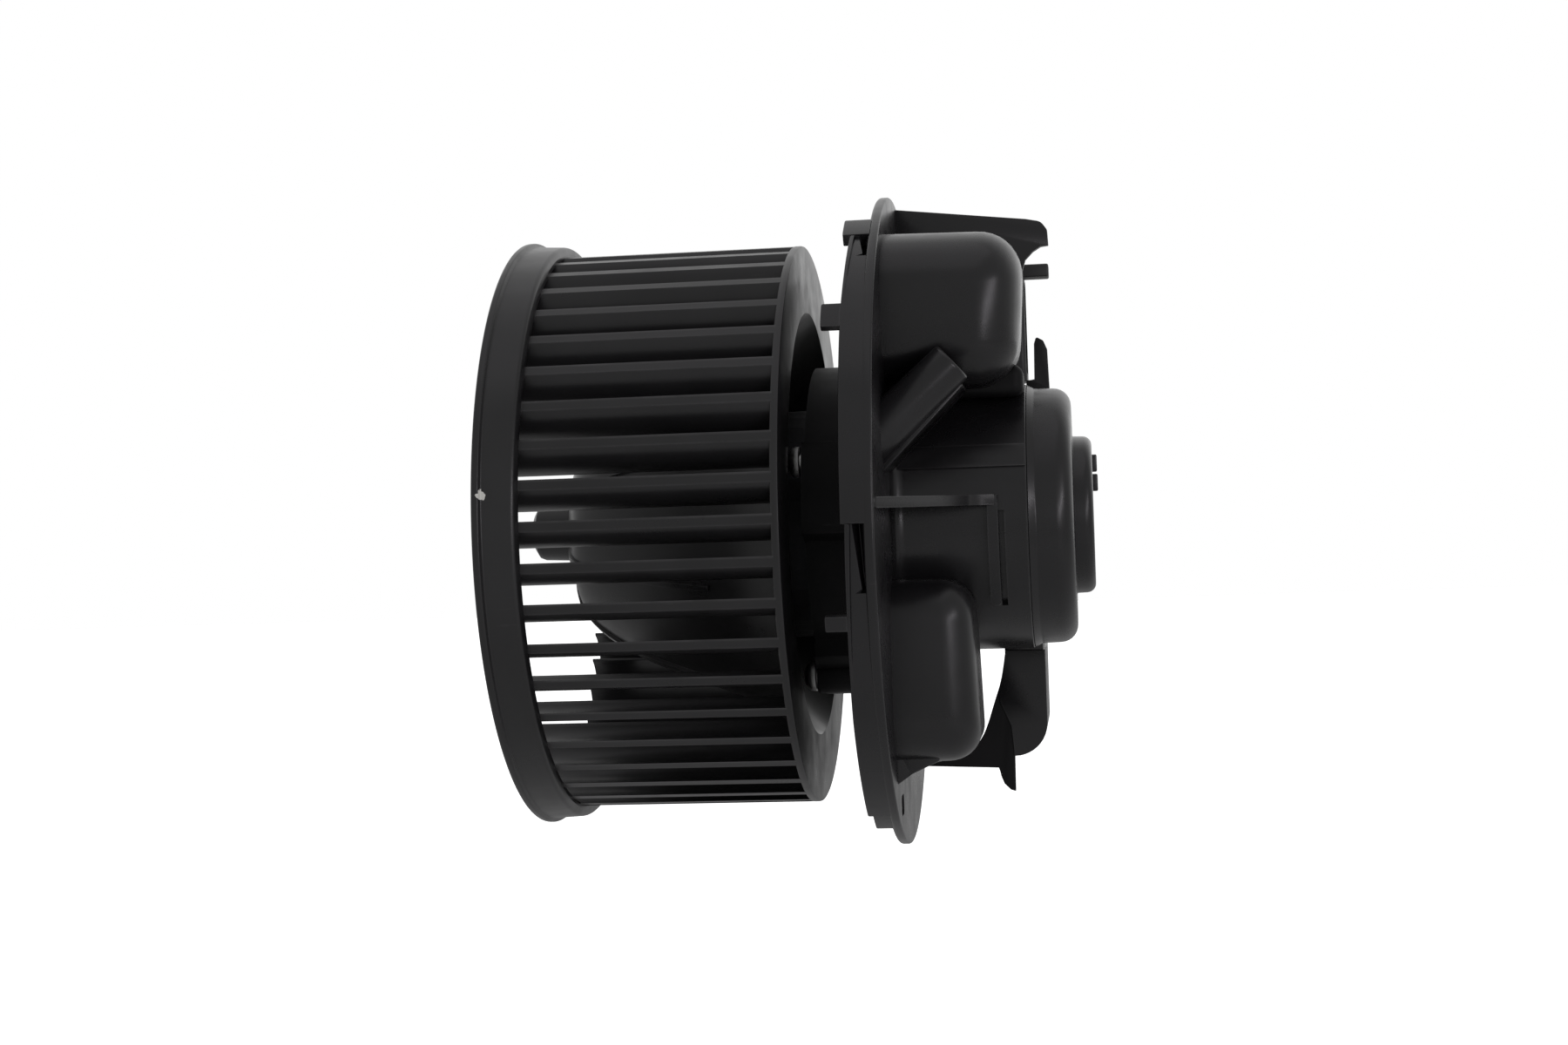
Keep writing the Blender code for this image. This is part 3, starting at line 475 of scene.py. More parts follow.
def moulded_plastic(name, colour, roughness, grain_mm=0.35, worn=0.5, specular=0.5):
    """Black injection moulding: cloudy gloss, faint orange peel, fine grain, dusty worn edges."""
    dust = (0.085, 0.083, 0.085)
    rubbed = (0.06, 0.06, 0.062)
    f = Finish(name, colour, roughness)
    f.shader.inputs["Specular IOR Level"].default_value = specular
    cloud = f.noise(34.0, 3.0)
    patch = f.noise(9.0, 4.0, 0.6)
    flow = f.noise(14.0, 3.0, 0.6, f.stretched((1.0, 0.12, 1.0)))
    scratch = f.noise(2.2, 6.0, 0.7, f.stretched((1.0, 0.09, 0.6)))
    lighter = tuple(1.7 * c for c in colour)
    base = f.mix(f.ramp(cloud, 0.35, 0.7), colour, lighter)
    wear = f.math("MULTIPLY", f.edges(), f.ramp(patch, 0.35, 0.65, 0.15, worn))
    base = f.mix(wear, base, dust)
    base = f.mix(f.ramp(scratch, 0.66, 0.78, 0.0, 0.35), base, rubbed)
    rough = f.ramp(flow, 0.3, 0.7, roughness - 0.05, roughness + 0.07)
    rough = f.math("ADD", rough, f.ramp(patch, 0.4, 0.75, -0.02, 0.05))
    rough = f.math("ADD", rough, f.math("MULTIPLY", wear, 0.12))
    f.bump(f.noise(6.0, 2.0), 0.05, 0.35)
    f.bump(f.noise(grain_mm, 2.0), 0.006, 0.4)
    return f.done(base, rough)


def scuffed(mat, centre, reach_mm, colour):
    """Add one pale chipped patch to a finish, around a spot given in millimetres of the frame."""
    ragged_mm = 0.9
    tree = mat.node_tree
    shader = tree.nodes["Principled BSDF"]
    place = tree.nodes.new("ShaderNodeTexCoord")
    gap = tree.nodes.new("ShaderNodeVectorMath")
    gap.operation = "DISTANCE"
    gap.inputs[1].default_value = tuple(MM * c for c in centre)
    tree.links.new(place.outputs["Object"], gap.inputs[0])
    ragged = tree.nodes.new("ShaderNodeTexNoise")
    ragged.inputs["Scale"].default_value = 1.0 / (ragged_mm * MM)
    ragged.inputs["Detail"].default_value = 4.0
    tree.links.new(place.outputs["Object"], ragged.inputs["Vector"])
    spread = tree.nodes.new("ShaderNodeMath")
    spread.operation = "MULTIPLY"
    spread.inputs[1].default_value = 2.0 * reach_mm * MM
    tree.links.new(ragged.outputs["Fac"], spread.inputs[0])
    inside = tree.nodes.new("ShaderNodeMath")
    inside.operation = "LESS_THAN"
    tree.links.new(gap.outputs["Value"], inside.inputs[0])
    tree.links.new(spread.outputs[0], inside.inputs[1])
    blend = tree.nodes.new("ShaderNodeMix")
    blend.data_type = "RGBA"
    tree.links.new(inside.outputs[0], blend.inputs[0])
    tree.links.new(shader.inputs["Base Color"].links[0].from_socket, blend.inputs[6])
    blend.inputs[7].default_value = (*colour, 1.0)
    tree.links.new(blend.outputs[2], shader.inputs["Base Color"])


def brushed_metal(name, colour, roughness, direction=(1.0, 0.05, 1.0), depth_mm=0.008):
    """Plated or drawn metal: faint draw lines, patchy sheen and patchy darker tone."""
    f = Finish(name, colour, roughness, 1.0)
    lines = f.noise(0.5, 5.0, 0.6, f.stretched(direction))
    patch = f.noise(7.0, 4.0, 0.6)
    base = f.mix(f.ramp(patch, 0.3, 0.7), tuple(0.85 * c for c in colour), colour)
    rough = f.ramp(lines, 0.3, 0.7, roughness - 0.06, roughness + 0.1)
    rough = f.math("ADD", rough, f.ramp(patch, 0.4, 0.7, 0.0, 0.08))
    f.bump(lines, depth_mm, 0.4)
    return f.done(base, rough)


def striped_metal(name, colour, roughness, dark, pitch_mm, direction, metallic=1.0):
    """Stacked laminations or wound wire: repeated fine lines across the surface."""
    f = Finish(name, colour, roughness, metallic)
    lines = f.bands(pitch_mm, direction)
    patch = f.noise(5.0, 3.0)
    base = f.mix(f.ramp(lines, 0.1, 0.5), dark, colour)
    rough = f.ramp(patch, 0.3, 0.7, roughness - 0.05, roughness + 0.1)
    f.bump(lines, 0.1, 0.6)
    return f.done(base, rough)


def pressed_grain(name, colour, roughness, other, grain_mm, depth_mm, metallic=0.0):
    """Sintered, pressed or rubbery surface: coarse grain with two tones."""
    f = Finish(name, colour, roughness, metallic)
    grain = f.noise(grain_mm, 4.0, 0.65)
    cloud = f.noise(8.0, 3.0)
    base = f.mix(f.ramp(grain, 0.35, 0.65), colour, other)
    base = f.mix(f.ramp(cloud, 0.4, 0.8, 0.0, 0.4), base, tuple(0.7 * c for c in colour))
    rough = f.ramp(cloud, 0.3, 0.7, roughness - 0.06, roughness + 0.08)
    f.bump(grain, depth_mm, 0.5)
    return f.done(base, rough)


def make_materials():
    return {
        "wheel_plastic": moulded_plastic("wheel_plastic", (0.0118, 0.0115, 0.0122), 0.32),
        "housing_plastic": moulded_plastic("housing_plastic", (0.0088, 0.0084, 0.0093), 0.28),
        "connector_plastic": moulded_plastic(
            "connector_plastic", (0.012, 0.012, 0.0122), 0.45, grain_mm=0.5),
        "shaft_steel": brushed_metal(
            "shaft_steel", (0.60, 0.60, 0.61), 0.22, direction=(0.2, 1.0, 0.2)),
        "spring_steel": brushed_metal("spring_steel", (0.50, 0.50, 0.52), 0.30),
        "black_can_steel": brushed_metal("black_can_steel", (0.045, 0.045, 0.048), 0.42),
        "screw_zinc": brushed_metal(
            "screw_zinc", (0.62, 0.62, 0.61), 0.3, direction=(0.3, 0.3, 0.3), depth_mm=0.002),
        "lamination_steel": striped_metal(
            "lamination_steel", (0.34, 0.34, 0.36), 0.42,
            dark=(0.10, 0.10, 0.11), pitch_mm=0.5, direction="Y"),
        "enamelled_copper": striped_metal(
            "enamelled_copper", (0.60, 0.23, 0.09), 0.32,
            dark=(0.18, 0.06, 0.03), pitch_mm=0.6, direction="Z", metallic=0.85),
        "commutator_copper": brushed_metal("commutator_copper", (0.72, 0.38, 0.22), 0.28),
        "nylon_washer": pressed_grain(
            "nylon_washer", (0.72, 0.69, 0.60), 0.5,
            other=(0.66, 0.63, 0.55), grain_mm=0.4, depth_mm=0.01),
        "ferrite": pressed_grain(
            "ferrite", (0.055, 0.055, 0.062), 0.6,
            other=(0.085, 0.085, 0.09), grain_mm=0.3, depth_mm=0.03),
        "brush_card_plastic": pressed_grain(
            "brush_card_plastic", (0.11, 0.07, 0.045), 0.5,
            other=(0.16, 0.10, 0.06), grain_mm=0.8, depth_mm=0.02),
        "brush_carbon": pressed_grain(
            "brush_carbon", (0.045, 0.045, 0.05), 0.5,
            other=(0.09, 0.08, 0.08), grain_mm=0.15, depth_mm=0.02),
        "sintered_bronze": pressed_grain(
            "sintered_bronze", (0.46, 0.32, 0.16), 0.45,
            other=(0.30, 0.20, 0.10), grain_mm=0.12, depth_mm=0.02, metallic=0.9),
        "isolator_rubber": pressed_grain(
            "isolator_rubber", (0.022, 0.022, 0.022), 0.78,
            other=(0.03, 0.03, 0.03), grain_mm=0.5, depth_mm=0.03),
        "terminal_brass": brushed_metal(
            "terminal_brass", (0.74, 0.58, 0.28), 0.28, direction=(1.0, 0.08, 1.0)),
    }


SLOT_OF = {item["node"]: item["material_slot"] for item in frame["record"]["subparts"]}
MATS = make_materials()
WHEEL = MATS["wheel_plastic"]
CHIP = (CHIP_R * math.cos(CHIP_ANGLE), INLET_Y + 2.4, CHIP_R * math.sin(CHIP_ANGLE))
scuffed(WHEEL, CHIP, CHIP_REACH, (0.75, 0.74, 0.70))
CASE = MATS["housing_plastic"]
# Shaded copy of the housing plastic, darker and less glossy: painted shade for the pieces that sit in
# recesses and under overhangs
CASE_PAINTED_SHADE = moulded_plastic("housing_plastic_painted_shade", (0.0060, 0.0058, 0.0062), 0.5,
                            grain_mm=0.5, worn=0.2, specular=0.16)


def dress_cad_nodes():
    """Give every CAD node that stays in view the procedural finish of its slot."""
    for name, obj in frame["nodes"].items():
        mat = MATS[SLOT_OF[name]]
        if not obj.material_slots:
            obj.data.materials.append(mat)
        for spot in obj.material_slots:
            spot.material = mat


# ================================================================================================
# Wheel
# ================================================================================================
def blade_outline(rim):
    """Cross-section of a forward-curved blade with a rounded inner edge and a tip at radius rim.

    The blade is drawn a little past its tip and then trimmed, so that its end follows the rim.
    """
    steps = 14
    lean_in, lean_out = (math.radians(a) for a in BLADE_LEAN)
    reach = WHEEL_R - BLADE_INNER_R
    length = reach * (lean_out - lean_in) / (math.sin(lean_out) - math.sin(lean_in))
    overrun = 1.25
    x, z = BLADE_INNER_R, 0.0
    upper, lower = [], []
    for i in range(steps + 1):
        t = overrun * i / steps
        lean = lean_in + (lean_out - lean_in) * t
        half = 0.5 * (BLADE_T[0] + (BLADE_T[1] - BLADE_T[0]) * min(t, 1.0))
        upper.append((x - half * math.sin(lean), z + half * math.cos(lean)))
        lower.append((x + half * math.sin(lean), z - half * math.cos(lean)))
        step = length * overrun / steps
        mid = lean + 0.5 * (lean_out - lean_in) * overrun / steps
        x += step * math.cos(mid)
        z += step * math.sin(mid)
    outline = rim_trim(lower, rim) + list(reversed(rim_trim(upper, rim)))
    half = 0.5 * BLADE_T[0]
    nose = [(BLADE_INNER_R - half * math.sin(a), half * math.cos(a)) for a in (0.8, 1.57, 2.34)]
    return outline + nose


def rim_trim(points, rim):
    """Cut a line of points off where it crosses the radius rim."""
    kept = [points[0]]
    for a, b in zip(points, points[1:]):
        ra, rb = math.hypot(*a), math.hypot(*b)
        if rb < rim:
            kept.append(b)
            continue
        t = (rim - ra) / (rb - ra)
        if t < 0.3:
            kept.pop()
        kept.append((a[0] + t * (b[0] - a[0]), a[1] + t * (b[1] - a[1])))
        break
    return kept


def build_blades():
    """Rolled inlet ring and the row of blades behind it."""
    bm = bmesh.new()
    ring_end = INLET_Y + RING_LEN
    add_turned(bm, rounded([
        (RING_R - 0.9, ring_end, 0.3), (RING_R + 0.9, ring_end - 0.5, 1.3),
        (RING_R + 1.3, INLET_Y + 2.4, 0.5), (LIP_R, INLET_Y + 1.9, 0.5), (LIP_R, INLET_Y + 0.3, 0.9),
        (RING_R + 0.9, INLET_Y, 0.8), (RING_R - 0.5, INLET_Y + 0.1, 0.9),
        (RING_IN_R, INLET_Y + 1.8, 0.9), (RING_IN_R, ring_end, 0.4),
    ], 5), RING_STEPS)
    outline = blade_outline(WHEEL_R - 0.02)
    for i in range(BLADES):
        a = math.radians(-(BLADE_PHASE + i * 360.0 / BLADES))
        ca, sa = math.cos(a), math.sin(a)
        shape = [(u * ca - v * sa, u * sa + v * ca) for u, v in outline]
        add_slab(bm, shape, "y", INLET_Y + 0.3, BACK_Y - 0.5 * BACK_T, 0.0)
    piece(bm, "wheel_blades", WHEEL, ROTOR, "impeller_blades", WHEEL_SHARP)


def build_hub():
    """Back plate, bell and boss turned in one outline, with raised ribs along the bell."""
    bm = bmesh.new()
    plate_front = BACK_Y - BACK_T
    bell_out = spline([(ANNULUS_R + 1.0, plate_front), (46.4, -34.0), (40.0, -50.0), (33.2, -66.0),
                       (25.4, -76.6), (18.0, -80.8), (BOSS_R + 1.0, -82.6)], 8)
    bell_in = spline([(17.2, -78.4), (24.0, -74.6), (31.2, -64.6), (38.0, -49.0), (44.2, -33.4),
                      (ANNULUS_R, BACK_Y)], 8)
    rim = [(WHEEL_R - 0.4, BACK_Y), (WHEEL_R - 0.1, BACK_Y - 0.15), (WHEEL_R, BACK_Y - 0.5),
           (WHEEL_R, plate_front + 0.5), (WHEEL_R - 0.1, plate_front + 0.15),
           (WHEEL_R - 0.4, plate_front)]
    boss_end = -56.0
    boss = [(BOSS_R + 0.7, -83.4), (BOSS_R + 0.5, -84.2), (BOSS_R + 0.2, -91.0),
            (BOSS_R - 0.3, -92.3), (5.0, NOSE_Y + 0.25), (4.4, NOSE_Y), (BORE_R + 0.3, NOSE_Y),
            (BORE_R, NOSE_Y + 0.4), (BORE_R, boss_end - 0.2), (BORE_R + 0.2, boss_end),
            (BOSS_R - 0.3, boss_end), (BOSS_R, boss_end - 0.3), (BOSS_R, -79.6)]
    add_turned(bm, rim + bell_out + boss + bell_in, HUB_STEPS)
    half = 0.75
    crest = spline([(-82.4, 9.0), (-81.6, 17.0), (-78.6, 24.0), (-70.0, 31.8), (-56.0, 38.6),
                    (-42.0, 43.6)], 4)
    foot = [(-42.0, 41.5), (-56.0, 35.6), (-70.0, 29.0), (-77.4, 23.0), (-79.6, 16.0), (-80.6, 9.0)]
    for i in range(HUB_RIBS):
        rib = bmesh.new()
        add_slab(rib, crest + foot, "x", -half, half, 0.25)
        turn = Matrix.Rotation(math.radians(360.0 / HUB_RIBS * i + HUB_RIB_PHASE), 4, "Y")
        bmesh.ops.transform(rib, matrix=turn, verts=rib.verts)
        merge(bm, rib)
    piece(bm, "wheel_hub", WHEEL, ROTOR, "impeller_hub", WHEEL_SHARP)


# ================================================================================================
# Housing
# ================================================================================================
def build_flange():
    """Flange disc with the bore of the motor cup, two bulge openings and a slot near the rim."""
    # low corner and high corner in (x, z), and the radius of the corners
    openings = (
        ((12.2, 36.4), (45.0, 66.3), 7.0),
        ((14.0, -56.0), (47.0, -36.4), 5.5),
        ((27.0, -71.5), (34.0, -66.5), 1.6),
    )
    bm = bmesh.new()
    add_turned(bm, rounded([
        (FLANGE_R, 0.0, 0.9), (FLANGE_R, FLANGE_T, 0.5), (CUP_IN_R, FLANGE_T, 0.0),
        (CUP_IN_R, 0.0, 0.3),
    ], 5), FLANGE_STEPS)
    disc = piece(bm, "flange_disc", CASE, HOUSING, "motor_housing")
    for (x0, z0), (x1, z1), radius in openings:
        hole = bmesh.new()
        spots = [(x0, z0, radius), (x1, z0, radius), (x1, z1, radius), (x0, z1, radius)]
        add_slab(hole, rounded(spots, 8), "y", -3.0, 6.0, 0.0)
        cut_away(disc, hole)


def skirt_section(angle, recess, slot, slope, slot_y):
    """Section of the skirt band; recess and slot are depths, slope runs from 0 to 1 along a ramp."""
    outer, inner = FLANGE_R - 0.12, FLANGE_R - SKIRT_T - 0.9 * slot
    floor = outer - recess
    root = floor - slot
    back = 0.9
    front = SKIRT_FRONT_Y + 0.9 * (1.0 - slope)
    ramp = -2.9 - 1.6 * slope
    outline = [
        (inner, back), (inner, front + 0.3), (inner + 0.3, front), (outer - 0.45, front),
        (outer - 0.12, front + 0.14), (outer, front + 0.45), (outer, ramp - 0.12),
        (floor, ramp + 0.12), (floor, slot_y - 0.1), (root, 0.5 * slot_y - 0.05),
        (root, 0.5 * slot_y + 0.05), (floor, 0.2), (floor, 0.4), (outer, 0.6), (outer, back),
    ]
    a = math.radians(angle)
    return [(r * math.cos(a), y, -r * math.sin(a)) for r, y in outline]


def build_skirt():
    """Bayonet skirt: two bands with their ramps, stops and front lugs."""
    bm = bmesh.new()
    # degrees from the middle of a band: start and end of each ramp, and end of the slot in it
    ramps = ((-58.0, -36.0, -50.5), (0.2, 34.0, 10.5))
    lugs = ((-37.9, -33.2), (14.8, 17.3))
    pitch = 1.3
    recess_depth = 0.75
    slot_depth = 3.6
    for centre in (0.0, 180.0):
        marks = {-SKIRT_HALF, SKIRT_HALF}
        for start, end, slot_end in ramps:
            marks.update((start - 0.05, start + 0.05, slot_end, slot_end + 1.5, end))
        marks.update(-SKIRT_HALF + pitch * k for k in range(1, int(2 * SKIRT_HALF / pitch)))
        sections = []
        for angle in sorted(marks):
            recess = slot = 0.0
            slope = 1.0
            slot_y = -2.2
            for start, end, slot_end in ramps:
                if start <= angle <= end:
                    t = (angle - start) / (end - start)
                    recess, slope = recess_depth * (1.0 - t), t
                    if angle <= slot_end:
                        slot = slot_depth
                        slot_y = -2.4 + 1.7 * (angle - start) / (slot_end - start)
            sections.append(skirt_section(centre + angle, recess, slot, slope, slot_y))
        add_loft(bm, sections)
        for start, end in lugs:
            add_sector(bm, FLANGE_R - 2.0, FLANGE_R - 0.3, centre + start, centre + end, -9.5,
                       SKIRT_FRONT_Y + 1.0, 0.3, 2.0)
    add_sector(bm, FLANGE_R - 3.0, FLANGE_R, -62.0, -56.2, SKIRT_FRONT_Y - 0.9, 0.4, 0.25, 2.0)
    add_sector(bm, FLANGE_R - 3.0, FLANGE_R - 0.3, 58.0, 65.2, -3.8, 0.9, 0.25, 2.0)
    piece(bm, "flange_skirt", CASE, HOUSING, "motor_housing")


def build_cup():
    """Motor cup with its fillet at the flange and a groove, and the ribs that stand on it."""
    bm = bmesh.new()
    fillet = 3.0
    root = [(CUP_R + fillet * (1 - math.cos(a)), FLANGE_T - 0.1 + fillet * (1 - math.sin(a)))
            for a in (1.57, 1.2, 0.8, 0.4, 0.0)]
    outline = [(CUP_IN_R, 0.4), (CUP_R + fillet, FLANGE_T - 0.6)] + root
    outline += [(CUP_R, CUP_Y - 0.2), (CUP_R - 0.2, CUP_Y), (CUP_IN_R, CUP_Y)]
    add_turned(bm, outline, CUP_STEPS)
    cup = piece(bm, "motor_cup", CASE, HOUSING, "motor_housing")
    groove = bmesh.new()
    add_sector(groove, CUP_R - 1.3, CUP_R + 4.0, -3.0, 40.0, 28.0, 29.4, 0.0)
    cut_away(cup, groove)
    # a flat rib along the cup and a band beside its rear rim
    bm = bmesh.new()
    add_sector(bm, CUP_R - 1.0, CUP_R + 0.55, -31.6, -21.4, 2.0, CUP_Y - 0.2, 0.25)
    add_sector(bm, CUP_R - 2.0, CUP_R + 2.2, -8.0, 37.0, 25.4, 28.0, 0.8)
    # the gusset is drawn upright, reaching along -Z, and then laid level to reach along +X
    reach = FLANGE_R - 2.0
    gusset = bmesh.new()
    add_slab(gusset, rounded([
        (0.5, -24.0, 0.0), (28.0, -24.0, 0.0), (28.0, -CUP_R - 2.3, 1.2), (22.0, -CUP_R - 4.5, 6.0),
        (FLANGE_T + 0.2, -reach, 1.0), (0.5, -reach, 0.0),
    ], 6), "x", 3.1, 5.6, 0.6)
    level = Matrix.Rotation(math.radians(-90.0), 4, "Y")
    bmesh.ops.transform(gusset, matrix=level, verts=gusset.verts)
    merge(bm, gusset)
    piece(bm, "cup_ribs", CASE, HOUSING, "motor_housing")


def build_bulges():
    """Two hollow bulges on the near side; the upper one also has a block that joins it to the cup."""
    upper = bmesh.new()
    add_bulge(upper, (10.0, 31.0), (47.0, 69.6), (8.0, 11.0, 14.0, 9.0), 11.0, 36.2,
              tilt=0.06, bow=3.0)
    piece(upper, "upper_bulge", CASE, HOUSING, "motor_housing")
    under = bmesh.new()
    add_box(under, (10.0, 2.2, 29.6), (25.0, 34.8, 37.2), 2.5, 6)
    # painted shade: the block under the upper bulge takes the darker shaded copy of the housing plastic
    piece(under, "upper_bulge_root", CASE_PAINTED_SHADE, HOUSING, "motor_housing")
    lower = bmesh.new()
    add_bulge(lower, (12.0, -58.0), (49.0, -14.0), (8.0, 12.0, 10.0, 8.0), 7.5, 21.4, tilt=-0.03)
    piece(lower, "lower_bulge", CASE, HOUSING, "motor_housing")


def build_duct():
    """Slanted cooling duct beside the upper bulge, with the web that carries it.

    The pipe is drawn from in front of the flange and cut off level inside the flange's thickness.
    """
    bm = bmesh.new()
    overrun = 6.0
    reach = 25.0 + overrun
    foot_r, end_r = 6.0, 5.2
    axis = Vector((0.0, 18.6, 16.8)).normalized()
    start = Vector((51.5, 0.9, 20.0)) - overrun * axis
    lean = Vector((0, 1, 0)).rotation_difference(axis).to_matrix().to_4x4()
    pipe = bmesh.new()
    outline = rounded([(0.0, 0.0, 0.0), (foot_r, 0.0, 0.0), (end_r, reach, 0.9), (0.0, reach, 0.0)], 5)
    add_turned(pipe, outline, 64, turn=Matrix.Translation(start) @ lean)
    everything = list(pipe.verts) + list(pipe.edges) + list(pipe.faces)
    seat = bmesh.ops.bisect_plane(pipe, geom=everything, plane_co=(0.0, 0.6, 0.0),
                                  plane_no=(0.0, -1.0, 0.0), clear_outer=True)
    edges = [item for item in seat["geom_cut"] if isinstance(item, bmesh.types.BMEdge)]
    bmesh.ops.edgeloop_fill(pipe, edges=edges)
    merge(bm, pipe)
    add_slab(bm, rounded([(1.0, 10.2, 0.0), (21.4, 30.9, 0.6), (19.8, 35.4, 0.3), (1.0, 19.0, 0.0)], 4),
             "x", 30.0, 50.6, 0.35)
    add_slab(bm, [(1.0, 10.2), (21.4, 30.9), (20.2, 32.0), (1.0, 12.4)], "x", 34.0, 51.6, 0.3)
    piece(bm, "cooling_duct", CASE, HOUSING, "motor_housing")


def build_far_box():
    """Box and neck hanging under the motor cup on the far side."""
    bm = bmesh.new()
    sweep = 8.7
    corner = []
    for k in range(11):
        t = 0.15 * k
        corner.append((28.4 + sweep * math.sin(t), -53.7 - sweep * math.cos(t)))
    side = [(37.1, -34.8), (26.9, -34.8), (25.6, -41.5), (24.6, -45.5), (24.9, -48.5),
            (28.0, -54.5), (28.2, -62.3)]
    add_slab(bm, side + corner, "x", -52.0, -14.4, 1.0, 4)
    box = piece(bm, "far_box", CASE, HOUSING, "motor_housing")
    hollow = bmesh.new()
    add_box(hollow, (-60.0, 28.4, -53.0), (-16.4, 34.6, -38.6), 1.5, 4)
    cut_away(box, hollow)
    neck = bmesh.new()
    add_box(neck, (-48.0, 26.6, -38.0), (-14.9, 36.6, -18.0), 0.8)
    piece(neck, "far_box_neck", CASE, HOUSING, "motor_housing")


def build_arms():
    """Latch arms above and below, and the foot of the lower bulge."""
    bm = bmesh.new()
    wing = rounded([
        (0.5, 80.9, 0.0), (36.0, 76.6, 3.0), (39.8, 75.8, 2.0), (41.4, 73.6, 1.6),
        (41.6, 69.6, 0.2), (39.6, 69.4, 0.2), (37.6, 68.2, 0.3), (35.6, 66.2, 0.4),
        (33.0, 58.0, 1.0), (0.5, 58.0, 0.0),
    ])
    add_slab(bm, wing, "x", -11.0, -8.4, 0.35)
    inner = [(0.5, -63.6)] + spline([(7.1, -64.0), (16.4, -60.8), (20.4, -56.6), (23.7, -47.6),
                                     (25.5, -42.0), (26.8, -34.6)], 5)
    tail = [(28.5, -34.6), (28.5, -50.0), (28.3, -71.6), (27.0, -71.2), (25.4, -69.6), (24.6, -67.6),
            (24.2, -65.2), (0.5, -64.5)]
    lower = bmesh.new()
    add_slab(lower, inner + tail, "x", -17.4, -14.8, 0.2)
    # painted shade: the lower latch arm, behind the lower bulge, takes the darker shaded copy of the
    # housing plastic
    piece(lower, "lower_latch_arm", CASE_PAINTED_SHADE, HOUSING, "motor_housing")
    foot = [(0.5, -50.0, 0.0), (14.0, -56.8, 1.0), (6.0, -60.2, 6.0), (0.5, -64.2, 0.0)]
    add_slab(bm, rounded(foot, 5), "x", 14.0, 42.0, 1.0, 4)
    piece(bm, "latch_arms", CASE, HOUSING, "motor_housing")


def build_bosses():
    """Blind screw bosses behind the flange."""
    bm = bmesh.new()
    for angle in SCREW_ANGLES[1:]:
        add_turned(bm, rounded([
            (0.0, 0.6, 0.0), (2.2, 0.6, 0.0), (5.4, FLANGE_T - 0.2, 0.0), (4.4, FLANGE_T + 1.0, 0.8),
            (4.0, BOSS_END_Y, 0.7), (0.0, BOSS_END_Y, 0.0),
        ]), 40, polar(SCREW_R, angle))
    piece(bm, "screw_bosses", CASE, HOUSING, "motor_housing")


def build_cap():
    """Stepped rear cap with a shallow dish in its end and two small teeth."""
    bm = bmesh.new()
    front = CAP_LOW.y
    dish_r, dish_y = 11.6, STEP_Y - 0.35
    outline = rounded([
        (CAP_R + 1.1, front - 0.25, 0.15), (CAP_R + 0.1, front + 1.6, 1.0),
        (CAP_R - 0.15, CAP_Y, 4.4), (STEP_R + 0.3, CAP_Y, 0.0),
        (STEP_R - 0.05, CAP_Y + 0.25, 0.1), (STEP_R - 0.2, STEP_Y, 3.2),
        (12.0, STEP_Y, 0.2), (dish_r, dish_y, 0.2), (0.0, dish_y, 0.0),
        (0.0, STEP_Y - WALL, 0.0), (STEP_R - WALL, STEP_Y - WALL, 0.6),
        (STEP_R - WALL, CAP_Y - WALL, 0.0), (CAP_R - 6.0, CAP_Y - WALL, 1.0),
        (CAP_R - WALL, 41.0, 1.0), (CAP_R - WALL, front, 0.2),
    ], 7)
    add_turned(bm, outline, CUP_STEPS)
    add_box(bm, (-3.0, STEP_Y - 1.0, 5.8), (3.0, CAP_HIGH.y, 10.1), 0.35)
    add_box(bm, (-3.0, STEP_Y - 1.0, 10.7), (3.0, CAP_HIGH.y - 0.1, 15.0), 0.35)
    piece(bm, "cap_shell", CASE, HOUSING, "rear_cap")


def collar_outline():
    """Retainer outline: two side ears for screws and a flatter foot, with softened steps."""
    ear, foot, plain = COLLAR_HIGH.x, 43.8, 39.8
    soft = 1.2
    count = 240
    points = []
    for i in range(count):
        angle = 360.0 * i / count
        if angle <= 90.0:
            side = angle
        elif angle <= 270.0:
            side = 180.0 - angle
        else:
            side = angle - 360.0
        into_ear = min(1.0, max(0.0, (side + 27.5) / soft)) * min(1.0, max(0.0, (5.0 - side) / soft))
        into_foot = min(1.0, max(0.0, (side - 46.0) / soft))
        points.append(polar(plain + (ear - plain) * into_ear + (foot - plain) * into_foot, angle))
    return points


def build_collar():
    """Motor retainer: a bored collar, and an eye under each of its two foot screws."""
    bm = bmesh.new()
    add_slab(bm, collar_outline(), "y", *COLLAR_Y, 0.4)
    # painted shade: the collar between wheel and flange takes the darker shaded copy of the housing
    # plastic
    collar = piece(bm, "retainer_collar", CASE_PAINTED_SHADE, HOUSING, "motor_retainer")
    cutter = bmesh.new()
    y0, y1 = COLLAR_Y[0] - 2.0, COLLAR_Y[1] + 2.0
    add_turned(cutter, [(0.0, y0), (COLLAR_BORE_R, y0), (COLLAR_BORE_R, y1), (0.0, y1)], 160)
    cut_away(collar, cutter)
    eyes = bmesh.new()
    for angle in SCREW_ANGLES[1:3]:
        outline = rounded([(0.0, COLLAR_Y[0], 0.0), (4.3, COLLAR_Y[0], 0.5),
                           (4.3, COLLAR_Y[1], 0.3), (0.0, COLLAR_Y[1], 0.0)])
        add_turned(eyes, outline, 32, polar(SCREW_R, angle))
    # painted shade: the eyes take the same darker shaded copy of the housing plastic
    piece(eyes, "retainer_eyes", CASE_PAINTED_SHADE, HOUSING, "motor_retainer")


